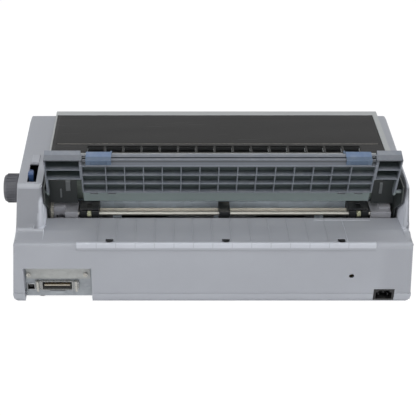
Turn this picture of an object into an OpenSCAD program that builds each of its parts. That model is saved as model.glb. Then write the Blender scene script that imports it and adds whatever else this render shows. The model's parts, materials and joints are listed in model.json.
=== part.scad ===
// Wide-carriage impact printer with a rear push tractor.
// +Z is up, the front faces -Y, the rear faces +Y, and the platen knob is on +X.
// "d" in a name or a call is a distance forward of the rear face.

/* [Housing] */
// Width of the housing at its seam
body_w = 604; // [560:1:640]
// Depth of the housing
body_d = 385; // [372:1:420]
// Width that the side walls lose from seam to shoulder, on each side
side_taper = 12; // [6:1:16]
// Wall of both case halves
wall = 3; // [2:0.25:4]
// Height of the rear face
rear_h = 109.5; // [108:0.5:112]
// Height of the shoulder at its rear end
shoulder_h = 180; // [178:0.5:182]
// Height of the shoulder at its front end
shoulder_front_h = 190; // [187:0.5:191]
// Height of the seam between the case halves
seam_h = 18.9; // [17:0.1:20]
// Height of the rubber feet
foot_h = 3; // [2:0.25:5]
// Radius of the rubber feet
foot_r = 10; // [7:0.5:14]
// Floor thickness of the lower case
floor_t = 2; // [1.5:0.25:2.5]

/* [Deck and shoulders] */
// Where the shoulders rise from the flat rear wings
wing_d = 36; // [34:0.5:40]
// Front edge of the ribbed rear deck
deck_d = 77; // [76:0.5:80]
// Drop of the deck from its rear edge to its front edge
deck_fall = 4.5; // [3:0.25:6]
// Width of the knob-side cheek, from the open channel to the seam's end
cheek_right_w = 49; // [46:0.25:49.5]
// Width of the other cheek
cheek_left_w = 16; // [15:0.5:22]
// Rounding of the knob-side cheek's rear corner, at the deck
cheek_round = 15; // [8:0.5:16]
// Rounding of the other cheek's rear corner, at the deck
cheek_round_left = 9; // [5:0.5:9.5]
// Pitch of the ribs on the deck
rib_pitch = 28.6; // [24:0.2:34]
// Height of the ribs on the deck
rib_h = 0.7; // [0.4:0.1:1.2]
// How far the rolled lip of the deck stands out behind
lip_out = 2.5; // [1:0.25:4]

/* [Top cover] */
// How far the cover's knob-side edge lies inside the channel
cover_in_right = 5.4; // [5:0.2:7]
// How far the cover's other edge lies inside the channel
cover_in_left = 13.6; // [12:0.2:16]
// Rear edge of the cover
cover_rear_d = 112; // [111.5:0.25:114]
// Front edge of the cover
cover_front_d = 253; // [248:0.5:256]
// Underside of the cover
cover_h = 191; // [190.5:0.25:194]
// Thickness of the cover
cover_t = 8; // [6:0.5:10]
// Thickness of the smoked window
window_t = 3; // [2:0.25:4]
// Height of the cover hinge
cover_hinge_h = 178; // [176:0.5:180]

/* [Paper guide] */
// Distance of the guide's pivot from the rear face
guide_d = 60; // [58:0.5:62]
// Height of the guide's pivot
guide_h = 163; // [161:0.5:165]
// Lean of the raised guide, back from upright
guide_lean = 16; // [10:1:20]
// Length of the guide above its pivot
guide_len = 72; // [68:0.5:76]
// Depth of the end caps, front to back
cap_depth = 20; // [18:0.5:24]
// Width of the knob-side end cap
cap_right_w = 53; // [46:1:56]
// Width of the other end cap
cap_left_w = 36; // [32:1:44]
// Width of each sliding edge guide
edge_w = 37; // [30:1:38]

/* [Platen and feed] */
// Distance of the platen's axis from the rear face
platen_d = 125; // [124:0.5:126]
// Height of the platen's axis
platen_h = 130; // [129:0.5:131]
// Radius of the rubber platen
platen_r = 16.5; // [15:0.25:17]
// Radius of the platen shaft
shaft_r = 4; // [3.5:0.1:4.5]
// Radius of the knob
knob_r = 22.5; // [20:0.5:25]
// Width of the knob
knob_w = 25; // [20:0.5:30]
// Outside radius of the platen gear
platen_gear_r = 21; // [20:0.25:22]
// Outside radius of the feed motor's pinion
pinion_r = 8; // [7:0.25:9]
// Thickness of the gears
gear_t = 5; // [4:0.25:5.2]

/* [Tractors] */
// Width of each tractor
tractor_w = 30; // [28:0.5:32]
// Distance of the knob-side tractor's inner face from its side frame
tractor_right_in = 76.5; // [75.5:1:99.5]
// Distance of the other tractor's inner face from its side frame
tractor_left_in = 68.5; // [66.5:1:90.5]
// Radius of the round guide shaft
guide_shaft_r = 3; // [2.5:0.1:3.2]
// Width of the square drive shaft
drive_w = 6.5; // [6:0.25:8.5]
// Radius of the pin wheels
pin_wheel_r = 8; // [7.5:0.1:8.5]

/* [Carriage] */
// Width of the carriage
carriage_w = 60; // [50:1:64]
// Resting place of the carriage along the rod
carriage_x = -190; // [-190:1:-150]
// Radius of the carriage rod
rod_r = 5; // [4:0.25:6]
// Radius of the belt pulleys
pulley_r = 10; // [8:0.5:11]
// Thickness of the toothed belt
belt_t = 1.6; // [1:0.1:2]

/* [Rear sockets] */
// Distance of the socket recess's inner side from the housing's side
recess_in = 120; // [116:1:126]
// Width of the socket recess
recess_w = 102; // [98:1:104]
// Height of the top of the socket recess
recess_h = 63.6; // [60:0.2:68]
// Depth of the socket recess
recess_depth = 15; // [13:0.5:18]
// Width of the 36-way socket's shell
port_w = 49.4; // [48:0.2:51]
// Height of the 36-way socket's shell
port_h = 16.2; // [14:0.2:17]
// Width of the mains inlet
inlet_w = 31.2; // [29:0.2:33]
// Height of the mains inlet
inlet_h = 20.2; // [19:0.2:21]
// Radius of the round hole in the rear face
rear_hole_r = 3.85; // [2:0.05:6]

/* [Front] */
// Width of the control panel
panel_w = 150; // [130:1:160]
// Length of the control panel, down the slope
panel_len = 34; // [28:1:38]
// Width of a push button
button_w = 20; // [14:0.5:26]
// Height of the push buttons above the panel
button_out = 1.6; // [1.3:0.1:2.5]
// Width of the front paper cover
front_cover_w = 420; // [360:1:430]
// Height of the front paper cover
front_cover_h = 52; // [40:1:54]

/* [Hidden] */
$fn = 48;
// Running clearance of a shaft in its bore
fit = 0.06;
// Clearance between parts that pass each other
gap = 0.4;
// A small overlap that lets cuts break through
cut = 1;
half_w = body_w / 2;
channel_right = half_w - cheek_right_w;
channel_left = half_w - cheek_left_w;
cover_right = channel_right - cover_in_right;
cover_left = channel_left - cover_in_left;
rear_y = (body_d - lip_out) / 2;
knob_x = half_w - side_taper / 2;
knob_end = knob_x + knob_w;
centre_x = (knob_end - half_w) / 2;

// Side frames, which carry the mechanism
frame_t = 2;
frame_right = channel_right - 3.5;
frame_left = channel_left - 3.5 - frame_t;
frame_foot = 36;
frame_rear = 84;
frame_plate = frame_foot + 2;
flange_d = 97;
flange_low = 120;
gear_x = frame_right - 0.3 - gear_t;

// The front slope runs from the shoulder's front edge to the front face
slope_top = [cover_front_d + 5, shoulder_front_h - 2];
slope_foot = [body_d - 13, 92];
slope_angle = atan((slope_top[1] - slope_foot[1]) / (slope_foot[0] - slope_top[0]));

// Rear face of the shoulders, as [distance, height] from its foot to its top
face_foot = [wing_d, rear_h + 2.5];
face_top = [wing_d + 11, shoulder_h - 5];
face_lean = atan((face_top[0] - face_foot[0]) / (face_top[1] - face_foot[1]));
corner_apex = 110;

// Feed gear train, worked out from the axes and the outside radii
tooth = 1.3;
gear_gap = 0.3;
drive_d = 110;
drive_h = 97.5;
motor_d = 155;
motor_h = 75;
tractor_gear_r = norm([platen_d - drive_d, platen_h - drive_h]) - platen_gear_r - gear_gap;
train = norm([motor_d - platen_d, motor_h - platen_h]);
idler_r = (train - platen_gear_r - pinion_r) / 2 - gear_gap;
idler_at = platen_gear_r + gear_gap + idler_r;
idler_d = platen_d + (motor_d - platen_d) * idler_at / train;
idler_h = platen_h + (motor_h - platen_h) * idler_at / train;
motor_w = 42;
motor_x = gear_x - 2 - 40;

// Tractor shafts and bodies
guide_shaft_d = 88;
guide_shaft_h = 106.5;
tractor_top = 114;
tractor_rear = 82;
tractor_front = 122;
tractor_low = 90;
wheel_slot = 10;
journal_r = drive_w / 2;
tractor_right_x = frame_right - tractor_right_in;
tractor_left_x = frame_left - tractor_left_in;
bracket_right = tractor_right_x + tractor_w + 2;
bracket_left = tractor_left_x + tractor_w + 3;
bracket_end = gear_x - 1;
door_hinge_x = tractor_w - 2;
door_hinge_h = tractor_top + 1.7;
door_pin_r = 0.9;
door_rear = tractor_rear + 2;
door_front = 106;

// Carriage, rod, rail and belt
rod_d = platen_d + 53;
rod_h = 108;
rail_d = rod_d + 32;
belt_d = rail_d + 34;
rail_h = 116;
carriage_top = 118;
frame_front = belt_d + 18;
belt_h = 100;
belt_w = 6;
pulley_right = 212;
pulley_left = 238;
cartridge_low = 136;
cartridge_h = 24;
cartridge_right = frame_right - 19.5;
cartridge_left = frame_left - 30.5;
cartridge_rear = rod_d + 18;
ribbon_d = platen_d + platen_r + 0.7;

// Bail that holds the paper down on the platen
bail_d = 152;
bail_h = 160;
bail_roller_r = 5;
bail_angle = 60;
bail_reach = platen_r + bail_roller_r + 0.3;
bail_bar_d = platen_d + bail_reach * cos(bail_angle);
bail_bar_h = platen_h + bail_reach * sin(bail_angle);
bail_right = frame_right - 11;
bail_left = frame_left - 22;

// Paper slots in the cover
slot_pitch = 28;
slot_start = cover_right - 56.1;
slot_near = cover_rear_d + 4.5;
slot_far = cover_rear_d + 23.5;

// Paper release lever
lever_x = channel_right + 15;
lever_w = 7;
lever_d = 84;
lever_h = 125;
lever_pin_r = 3;
slot_rear = 58;
slot_front = 109;

// Finger notches at the deck's rear edge
notch_x = [153.7, -18.7, -190.1];
notch_d = 6.3;
notch_r = 5.75;

// Rear sockets
recess_x = half_w - recess_in;
recess_end = recess_x + recess_w;
plate_d = recess_depth;
plate_t = 1.2;
port_x = recess_x + recess_w / 2 + 2.4;
port_z = 25.1;
port_out = 5;
port_end = 2.4;
tongue = 1;
usb_x = recess_end - 8.4;
usb_z = 21.2;
clip_x = port_w / 2 + 4.6;
clip_d = plate_d - 2.4;
clip_reach = 6;
clip_pin_r = 1;
tab_w = 23.6;
inlet_x = -half_w + 41.2;
inlet_z = foot_h + floor_t + 0.6 + inlet_h / 2;
board_z = foot_h + floor_t + 4;
board_t = 1.6;

// Front
front_hinge_h = seam_h + 5;
front_cover_z = front_hinge_h - 1;
panel_x = half_w - 182;
panel_s = norm(slope_foot - slope_top) - 37;
button_pitch = 34;
switch_x = -half_w + 40;
switch_w = 20;
switch_h = 16;
switch_z = 42;
switch_d = body_d - 8;
switch_pin_r = 1.5;

// Half the width of the housing at a height, without its walls
function half_at(z) = half_w - side_taper * max(0, z - seam_h) / (shoulder_h - seam_h);

// Moves every edge of an anticlockwise outline inwards by t
function edge_normal(a, b) = [a[1] - b[1], b[0] - a[0]] / norm(b - a);
function inset(points, t) = [
  for (i = [0 : len(points) - 1])
    let (
      n = len(points),
      before = edge_normal(points[(i + n - 1) % n], points[i]),
      after = edge_normal(points[i], points[(i + 1) % n])
    )
    points[i] + t * (before + after) / (1 + before * after)
];

// Side outline of the housing above the seam, as [y, z], anticlockwise from the front foot
function outline() = [
  for (p = [
    [body_d, seam_h], [0, seam_h], [0, rear_h - 5], [1.2, rear_h - 1.6], [5, rear_h],
    [wing_d - 11, rear_h + 0.4], [wing_d - 5, rear_h + 1.6], [wing_d - 0.8, rear_h + 5],
    face_foot + (face_top - face_foot) * 0.13, face_top,
    [wing_d + 17, shoulder_h + 0.6], [cover_front_d - 10, shoulder_front_h],
    slope_top, slope_foot, [body_d - 3, slope_foot[1] - 10], [body_d, slope_foot[1] - 16]
  ]) [rear_y - p[0], p[1]]
];

// Puts the drawing's base centre at the middle of the whole part
module place() translate([-centre_x, 0, 0]) children();

// A block between two x, two distances from the rear and two heights
module block(x0, x1, d0, d1, z0, z1)
  translate([x0, rear_y - d1, z0]) cube([x1 - x0, d1 - d0, z1 - z0]);

// A [distance, height] outline drawn out from x0 to x1
module across(x0, x1, points)
  translate([x0, 0, 0]) rotate([90, 0, 90]) linear_extrude(x1 - x0)
    polygon([for (p = points) [rear_y - p[0], p[1]]]);

// A round bar along X
module bar(x0, x1, d, z, r)
  translate([x0, rear_y - d, z]) rotate([0, 90, 0]) cylinder(h = x1 - x0, r = r);

// A round post along Z
module post(x, d, z0, z1, r)
  translate([x, rear_y - d, z0]) cylinder(h = z1 - z0, r = r);

// A round bar along Y, from one distance to another
module pin_y(x, d0, d1, z, r)
  translate([x, rear_y - d0, z]) rotate([90, 0, 0]) cylinder(h = d1 - d0, r = r);

// A spur gear along X with straight-sided teeth
module gear(x0, t, d, z, r) {
  teeth = round(r * 1.6);
  step = 360 / teeth;
  root = r - tooth;
  translate([x0, rear_y - d, z]) rotate([90, 0, 90]) linear_extrude(t) polygon([
    for (i = [0 : teeth - 1]) each [
      root * [cos(step * (i - 0.32)), sin(step * (i - 0.32))],
      r * [cos(step * (i - 0.16)), sin(step * (i - 0.16))],
      r * [cos(step * (i + 0.16)), sin(step * (i + 0.16))],
      root * [cos(step * (i + 0.32)), sin(step * (i + 0.32))]
    ]
  ]);
}

// The housing's outer form above the seam, with every face moved in by t
module housing_form(t) {
  top = shoulder_front_h + 20;
  low = seam_h - 20;
  intersection() {
    translate([-half_w - cut, 0, 0]) rotate([90, 0, 90])
      linear_extrude(body_w + 2 * cut) polygon(inset(outline(), t));
    translate([0, body_d, 0]) rotate([90, 0, 0]) linear_extrude(2 * body_d) polygon([
      [-half_w + t, low], [half_w - t, low], [half_w - t, seam_h],
      [half_at(top) - t, top], [-half_at(top) + t, top], [-half_w + t, seam_h]
    ]);
  }
}

module deck_face(x0, x1, lift, thick)
  across(x0, x1, [
    [0, rear_h + lift - thick], [wing_d, rear_h + lift - thick],
    [deck_d, rear_h - deck_fall + lift - thick], [deck_d, rear_h - deck_fall + lift],
    [wing_d, rear_h + lift], [0, rear_h + lift]
  ]);

// A place at the foot of a cheek's rear corner, with the cheek towards +X and the face upright
module at_corner(side) translate([side > 0 ? channel_right : -channel_left, rear_y - face_foot[0],
  face_foot[1]]) rotate([face_lean, 0, 0]) mirror([side > 0 ? 0 : 1, 0, 0]) children();

// The space on the channel's side of a plane that cuts the corner off, t behind the rounding
module corner_half(r, t) {
  lean = r / corner_apex;
  translate([0, 0, corner_apex]) rotate([0, acos(lean / sqrt(2 + lean * lean)), -45])
    translate([-150, -150, -300 + t]) cube(300);
}

// What is cut off a cheek's corner, which leaves a rounding that gets tighter upwards
module corner_cut(r) {
  reach = norm([r, r, corner_apex]);
  difference() {
    intersection() {
      translate([-2, -r - 2, -2.5]) cube([r + 4, r + 4, 90]);
      corner_half(r, 0);
    }
    translate([0, 0, corner_apex]) rotate([0, 180 - acos(corner_apex / reach), -45])
      cylinder(h = 2 * reach, r1 = 0, r2 = 2 * reach * tan(asin((r + 0.1) / reach)));
  }
}

// The solid corner behind the rounding
module corner_fill(r) intersection() {
  translate([0, -r - 7, -6]) cube([r + 7, r + 10, 90]);
  corner_half(r, wall * 1.4);
}

module slope(s)
  translate([0, rear_y - slope_top[0] - s * cos(slope_angle), slope_top[1] - s * sin(slope_angle)])
    rotate([slope_angle, 0, 0]) children();

// Everything above the rounded bottom corners of the lower case
round_foot = [[6.5, 0], [3, 1.6], [1, 5.5], [0, 11]];
module lower_form() translate([0, body_d, 0]) rotate([90, 0, 0]) linear_extrude(2 * body_d) polygon([
  for (p = round_foot) [half_w - p[0], foot_h + p[1]],
  [half_w, frame_foot + 10], [-half_w, frame_foot + 10],
  for (i = [3 : -1 : 0]) [round_foot[i][0] - half_w, foot_h + round_foot[i][1]]
]);

module lower_case() place() color("#8f949c") difference() {
  intersection() {
    lower_form();
    union() {
      difference() {
        block(-half_w, half_w, 2, body_d - 2, foot_h, foot_h + 5);
        block(-half_w + 2 + wall, half_w - 2 - wall, 2 + wall, body_d - 2 - wall,
          foot_h + floor_t, foot_h + 5 + cut);
      }
      difference() {
        block(-half_w, half_w, 0, body_d, foot_h + 5, seam_h - 0.6);
        block(-half_w + wall + 1, half_w - wall - 1, wall + 1, body_d - wall - 1, foot_h, seam_h);
      }
      difference() {
        block(-half_w + 1.2, half_w - 1.2, 1.2, body_d - 1.2, foot_h + 5, seam_h);
        block(-half_w + wall, half_w - wall, wall, body_d - wall, foot_h, seam_h + cut);
      }
      for (x = [-frame_left + 25.5, frame_right - 14.5]) for (d = [170, 250])
        post(x, d, foot_h + 0.5, frame_foot, 6);
      post(0, 100, foot_h + 0.5, frame_foot, 6);
      for (x = [-half_w + 27, -75, 70, half_w - 27]) for (d = [34, 140])
        post(x, d, foot_h + 0.5, board_z, 4);
      block(recess_x - wall, recess_end + wall, plate_d + plate_t + 0.2,
        plate_d + plate_t + 0.2 + wall, foot_h, foot_h + 8);
    }
  }
  block(recess_x, recess_end, -cut, plate_d + plate_t + 0.2, 0, seam_h + cut);
  block(inlet_x - inlet_w / 2 - 0.2, inlet_x + inlet_w / 2 + 0.2, -cut, wall + 2,
    inlet_z - inlet_h / 2 - 0.2, seam_h + cut);
}

module feet() place() color("#2b2b2d")
  for (x = [-1, 1]) for (d = [28, body_d - 28]) difference() {
    post(x * (half_w - 42), d, 0, foot_h, foot_r);
    post(x * (half_w - 42), d, -cut, 1, foot_r - 4);
  }

module upper_case() place() color("#9b9fa8") difference() {
  union() {
    difference() {
      union() {
        difference() {
          housing_form(0);
          housing_form(wall);
          block(-half_w + wall, half_w - wall, wall, body_d - wall, seam_h - cut, seam_h + wall + cut);
        }
        // raised pad in front of the release slot
        intersection() {
          housing_form(-1.6);
          block(lever_x - 5, lever_x + 6, slot_front + 1, slot_front + 22, shoulder_h - 1,
            shoulder_front_h + 3);
        }
      }
      // open channel over the deck and the opening under the cover
      block(-channel_left, channel_right, -5, cover_rear_d - 4, rear_h - deck_fall - 20, 300);
      block(-cover_left - 1, cover_right + 1, cover_rear_d - 6, cover_front_d + 1.5,
        shoulder_h - 20, 300);
    }
    intersection() {
      housing_form(0);
      union() {
        deck_face(-channel_left - cut, channel_right + cut, 0, wall);
        block(-channel_left - cut, channel_right + cut, 0, wall, rear_h - 40, rear_h - 1.5);
        at_corner(1) corner_fill(cheek_round);
        at_corner(-1) corner_fill(cheek_round_left);
        block(channel_right, channel_right + wall, wing_d, cover_rear_d - 1, 95, 300);
        block(-channel_left - wall, -channel_left, wing_d, cover_rear_d - 1, 95, 300);
        for (span = [[cover_right + 1, channel_right + wall], [-channel_left - wall, -cover_left - 1]])
          block(span[0], span[1], cover_rear_d - 4, cover_rear_d - 1, cover_hinge_h - 10, 300);
        block(cover_right + 1, cover_right + 1 + wall, cover_rear_d - 4, cover_front_d + 4.5,
          cover_hinge_h - 10, 300);
        block(-cover_left - 1 - wall, -cover_left - 1, cover_rear_d - 4, cover_front_d + 4.5,
          cover_hinge_h - 10, 300);
        block(-cover_left - 1 - wall, cover_right + 1 + wall, cover_front_d + 1.5,
          cover_front_d + 1.5 + wall, cover_hinge_h - 10, 300);
      }
    }
    // rolled lip along the deck's rear edge
    across(-channel_left + 46, channel_right - 51, [
      [0, rear_h - 12], [-lip_out + 0.6, rear_h - 11], [-lip_out, rear_h - 9.5],
      [-lip_out, rear_h - 2], [-lip_out + 1, rear_h + 0.6], [0, rear_h + 1.6],
      [3, rear_h + 1.2], [5, rear_h - 1], [2, rear_h - 3], [2, rear_h - 12]
    ]);
    // ribs that carry the paper over the deck
    for (i = [0 : floor((channel_right + channel_left - 143) / rib_pitch)])
      deck_face(channel_right - 81 - i * rib_pitch, channel_right - 79.8 - i * rib_pitch,
        rib_h, rib_h + 1);
    // walls of the socket recess
    difference() {
      block(recess_x - wall, recess_end + wall, 1, plate_d + plate_t, seam_h, recess_h + wall);
      block(recess_x, recess_end, -cut, plate_d + plate_t + cut, seam_h - cut, recess_h);
    }
    // bezel of the power switch
    difference() {
      block(switch_x - 3, switch_x + switch_w + 3, switch_d - 6, body_d - 1,
        switch_z - switch_h / 2 - 3, switch_z + switch_h / 2 + 3);
      block(switch_x - gap, switch_x + switch_w + gap, switch_d - 7, body_d,
        switch_z - switch_h / 2 - 1, switch_z + switch_h / 2 + 1);
    }
  }
  block(recess_x, recess_end, -cut, plate_d, seam_h - cut, recess_h);
  block(inlet_x - inlet_w / 2 - 0.2, inlet_x + inlet_w / 2 + 0.2, -cut, wall + 2,
    seam_h - cut, inlet_z + inlet_h / 2 + 0.2);
  pin_y(-209, -cut, wall + cut, 50.2, rear_hole_r);
  // finger notches, round to the rear and undercut to the front
  for (x = notch_x) {
    post(x, notch_d, rear_h - 9, rear_h + 6, notch_r);
    across(x - notch_r, x + notch_r, [
      [notch_d, rear_h + 6], [2 * notch_d, rear_h + 6], [2 * notch_d, rear_h - 0.8],
      [2 * notch_d + 3, rear_h - 4], [notch_d, rear_h - 9]
    ]);
  }
  at_corner(1) corner_cut(cheek_round);
  at_corner(-1) corner_cut(cheek_round_left);
  // release slot, pivots and shaft holes
  block(lever_x - 5, lever_x + lever_w + 1, slot_rear, slot_front, shoulder_h - 15, 300);
  bar(channel_right - cut, channel_right + wall + cut, lever_d, lever_h, lever_pin_r + 0.5);
  bar(channel_right - cut, half_w, platen_d, platen_h, shaft_r + 1.5);
  bar(-cover_left - 1 - wall - cut, -cover_left, cover_rear_d + 6, cover_hinge_h, 2.5 + fit);
  bar(cover_right, cover_right + 1 + wall + cut, cover_rear_d + 6, cover_hinge_h, 2.5 + fit);
  // front cover, control panel and switch openings
  block(-front_cover_w / 2 - gap, front_cover_w / 2 + gap, body_d - wall - cut, body_d + cut,
    front_cover_z - 3 * gap, front_cover_z + front_cover_h + gap);
  bar(-front_cover_w / 2 - 4, front_cover_w / 2 + 4, body_d - wall / 2, front_hinge_h, 0.9 + fit);
  slope(panel_s) translate([panel_x - gap, -panel_len / 2 - gap, -wall - cut])
    cube([panel_w + 2 * gap, panel_len + 2 * gap, wall + 2 * cut]);
  block(switch_x - gap, switch_x + switch_w + gap, switch_d - 7, body_d + cut,
    switch_z - switch_h / 2 - 1, switch_z + switch_h / 2 + 1);
  bar(switch_x - 3 - cut, switch_x + switch_w + 3 + cut, switch_d, switch_z, switch_pin_r + fit);
}

module base_frame() place() color("#b4b6b8") difference() {
  union() {
    block(-frame_left, frame_right, frame_rear, frame_front, frame_foot, frame_plate);
    block(-frame_left + 3, frame_right - 3, rail_d - 1, rail_d + 1, frame_foot + 1, rail_h);
    block(-frame_left, frame_right, frame_front - 2, frame_front, frame_foot + 1, frame_foot + 14);
    post(-pulley_left, belt_d, frame_foot + 1, belt_h + belt_w + 2, 3);
    post(-pulley_left, belt_d, frame_foot + 1, belt_h - 2, 8);
  }
  for (x = [-120, 110])
    block(x - 40, x + 40, rod_d + 6, rod_d + 22, frame_foot - cut, frame_plate + cut);
}

module side_plate(x0) {
  difference() {
    across(x0, x0 + frame_t, [
      [wing_d + 11, 150], [frame_rear, 117], [frame_rear, frame_foot], [frame_front, frame_foot],
      [frame_front, 60], [frame_front - 10, 100], [frame_front - 17, 150], [215, 165],
      [cover_rear_d - 6, 165], [80, 177], [wing_d + 12, 177]
    ]);
    bar(x0 - cut, x0 + frame_t + cut, guide_d, guide_h, 3 + fit);
    bar(x0 - cut, x0 + frame_t + cut, platen_d, platen_h, shaft_r + fit);
    bar(x0 - cut, x0 + frame_t + cut, rod_d, rod_h, rod_r + fit / 2);
    bar(x0 - cut, x0 + frame_t + cut, bail_d, bail_h, 2.5 + fit);
  }
}

module side_frame_right() place() color("#5f6367") {
  side_plate(frame_right);
  block(bracket_right + 1, frame_right, flange_d, flange_d + 2, flange_low, flange_low + 40);
  bar(frame_right - gear_t - 1, frame_right, idler_d, idler_h, 3);
  bar(frame_right + frame_t, lever_x + lever_w + 1.5, lever_d, lever_h, lever_pin_r);
}

module side_frame_left() place() color("#5f6367") {
  side_plate(-frame_left - frame_t);
  block(-frame_left, -bracket_left - 1, flange_d, flange_d + 2, flange_low, flange_low + 40);
}

module top_cover() place() color("#8d9096") difference() {
  union() {
    block(-cover_left, cover_right, cover_rear_d, cover_front_d, cover_h, cover_h + cover_t);
    for (x = [-cover_left, cover_right - 7]) block(x, x + 7, cover_rear_d + 2, cover_rear_d + 10,
      cover_hinge_h - 4, cover_h + 1);
    bar(cover_right - 1, cover_right + wall + 0.6, cover_rear_d + 6, cover_hinge_h, 2.5);
    bar(-cover_left - wall - 0.6, -cover_left + 1, cover_rear_d + 6, cover_hinge_h, 2.5);
  }
  // opening under the window, and the seat that holds it
  block(-cover_left + 11.4, cover_right - 6, slot_far + 2.5, cover_front_d - 17,
    cover_h - cut, cover_h + 20);
  block(-cover_left + 8.2, cover_right - 2.7, cover_rear_d + 1.3, cover_front_d - 13.8,
    cover_h + cover_t - window_t, cover_h + 20);
  paper_slots();
}

// Slots that let the paper out
module paper_slots() for (i = [0 : 14]) block(slot_start - slot_pitch * (i + 1) + 1.5,
  slot_start - slot_pitch * i - 1.5, slot_near, slot_far, cover_h - cut, cover_h + 20);

module cover_window() place() color("#3c3d3f", 0.55) difference() {
  block(-cover_left + 8.4, cover_right - 2.9, cover_rear_d + 1.5, cover_front_d - 14,
    cover_h + cover_t - window_t, cover_h + cover_t);
  block(-cover_left + 14.4, cover_right - 9, slot_far + 6.3, slot_far + 7.3,
    cover_h + cover_t - 0.6, cover_h + cover_t + cut);
  paper_slots();
}

// The guide is drawn upright at its pivot, with its ribbed side towards +Y
module guide_place()
  translate([0, rear_y - guide_d, guide_h]) rotate([-guide_lean, 0, 0]) children();

module guide_block(x0, x1, y0, y1, z0, z1)
  translate([x0, y0, z0]) cube([x1 - x0, y1 - y0, z1 - z0]);

guide_right = frame_right - 2.5;
guide_left = frame_left - 8.5;
panel_right = guide_right - cap_right_w;
panel_left = guide_left - cap_left_w;
guide_rear = 6;
guide_sheet = -6;
rail_front = -7.2;
skirt = 25;
guide_rail = guide_len - 12;
end_cell = 36;
cell = (panel_right + panel_left - 2 * end_cell) / 13;

// An end cap: a box that is open to the rear, with one rib across it
module guide_cap(x0, w) difference() {
  front = guide_rear - cap_depth;
  guide_block(x0, x0 + w, front, guide_rear, 31.5, guide_len);
  for (bay = [[33.1, 50.4], [52, guide_len - 2]])
    guide_block(x0 + 2, x0 + w - 2, front + 2.5, guide_rear + cut, bay[0], bay[1]);
}

module guide_arm(x0) {
  guide_block(x0, x0 + 3, guide_rear - cap_depth, guide_rear, 14, 33);
  guide_block(x0, x0 + 3, -7, guide_rear, 0, 15);
  translate([x0, 0, 0]) rotate([0, 90, 0]) cylinder(h = 3, r = 6);
}

module guide_bar(x0, x1, y, z, r)
  translate([x0, y, z]) rotate([0, 90, 0]) cylinder(h = x1 - x0, r = r);

module paper_guide() place() color("#70757c") guide_place() {
  // smooth face sheet, with four slots below the ribs
  difference() {
    guide_block(-panel_left, panel_right, guide_sheet, guide_sheet + 2.5, -skirt, guide_rail);
    for (x = [panel_right - 16.5, panel_right - 42.8, 42.5 - panel_left, 17 - panel_left])
      guide_block(x - 6, x + 6, guide_sheet - cut, 0, -10, -7.3);
  }
  // rows and columns of ribs
  for (i = [0 : 3]) guide_block(-panel_left, panel_right, guide_sheet + 2, guide_rear,
    3 + i * (guide_rail - 5) / 3, 4.8 + i * (guide_rail - 5) / 3);
  for (i = [0 : 13]) guide_block(panel_right - end_cell - i * cell - 0.8,
    panel_right - end_cell - i * cell + 0.8, guide_sheet + 2, guide_rear - 0.8, 3, guide_rail);
  for (x = [-panel_left, panel_right - 2])
    guide_block(x, x + 2, guide_sheet, guide_rear, 3, guide_len);
  // top rail on which the edge guides slide, and the two bars that join it to the end caps
  difference() {
    guide_block(-panel_left + 8, panel_right - 8, rail_front, guide_rear, guide_rail, guide_len);
    guide_block(-panel_left, panel_right, -1, 1.5, guide_len - 3, guide_len + cut);
  }
  guide_bar(-panel_left - 1, panel_right + 1, rail_front + 2.6, guide_len - 2, 1.8);
  guide_bar(-panel_left - 1, panel_right + 1, 1, guide_len - 5, 2);
  guide_cap(panel_right, cap_right_w);
  guide_cap(-guide_left, cap_left_w);
  guide_arm(guide_right - 3);
  guide_arm(-guide_left);
  guide_bar(guide_right - 1, frame_right + frame_t - 0.2, 0, 0, 3);
  guide_bar(-frame_left - frame_t + 0.2, -guide_left + 1, 0, 0, 3);
}

// A slide that wraps the top rail, with its paper fence on the smooth side
module edge_guide(x0, fence) difference() {
  front = rail_front - gap - 2;
  rear = guide_rear + gap + 2.2;
  union() {
    guide_block(x0, x0 + edge_w, front, rear, guide_len + gap, guide_len + gap + 1.8);
    guide_block(x0, x0 + edge_w, rear - 2.2, rear, guide_rail + 4.5, guide_len + 1);
    guide_block(x0, x0 + edge_w, front, front + 2, guide_rail - 2.4, guide_len + 1);
    guide_block(x0, x0 + edge_w, front, guide_sheet - gap, guide_rail - 2.4, guide_rail - gap);
    guide_block(fence, fence + 2.5, -24, guide_sheet - gap, guide_rail - 34, guide_rail - gap);
    guide_block(fence, fence + 2.5, -24, front + 1, guide_rail - 1, guide_rail + 2);
  }
  for (i = [0 : 2]) guide_block(x0 + 6, x0 + edge_w - 6, rear - 0.6, rear + cut,
    guide_rail + 6 + 2.2 * i, guide_rail + 6.9 + 2.2 * i);
}

module edge_guide_right() place() color("#6d84a8") guide_place()
  edge_guide(panel_right - edge_w - 8, panel_right - edge_w - 8);
module edge_guide_left() place() color("#6d84a8") guide_place()
  edge_guide(9 - panel_left, 9 - panel_left + edge_w - 2.5);

module platen() place() color("#4a4f4e") difference() {
  bar(-frame_left + 17, frame_right - 13, platen_d, platen_h, platen_r);
  bar(-frame_left, frame_right, platen_d, platen_h, shaft_r);
}

module platen_shaft() place() color("#c9cacb")
  bar(-frame_left - frame_t - 3, knob_end - 4, platen_d, platen_h, shaft_r);

module drive_gear(d, z, r, bore) difference() {
  gear(gear_x, gear_t, d, z, r);
  bar(gear_x - cut, gear_x + gear_t + cut, d, z, bore);
}

module platen_gear() place() color("#dcdcd6") drive_gear(platen_d, platen_h, platen_gear_r, shaft_r);
module feed_idler() place() color("#dcdcd6") drive_gear(idler_d, idler_h, idler_r, 3 + fit);
module feed_pinion() place() color("#b9a15a") drive_gear(motor_d, motor_h, pinion_r, 2.5 + fit);
module tractor_gear() place() color("#dcdcd6") drive_gear(drive_d, drive_h, tractor_gear_r, journal_r);

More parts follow.
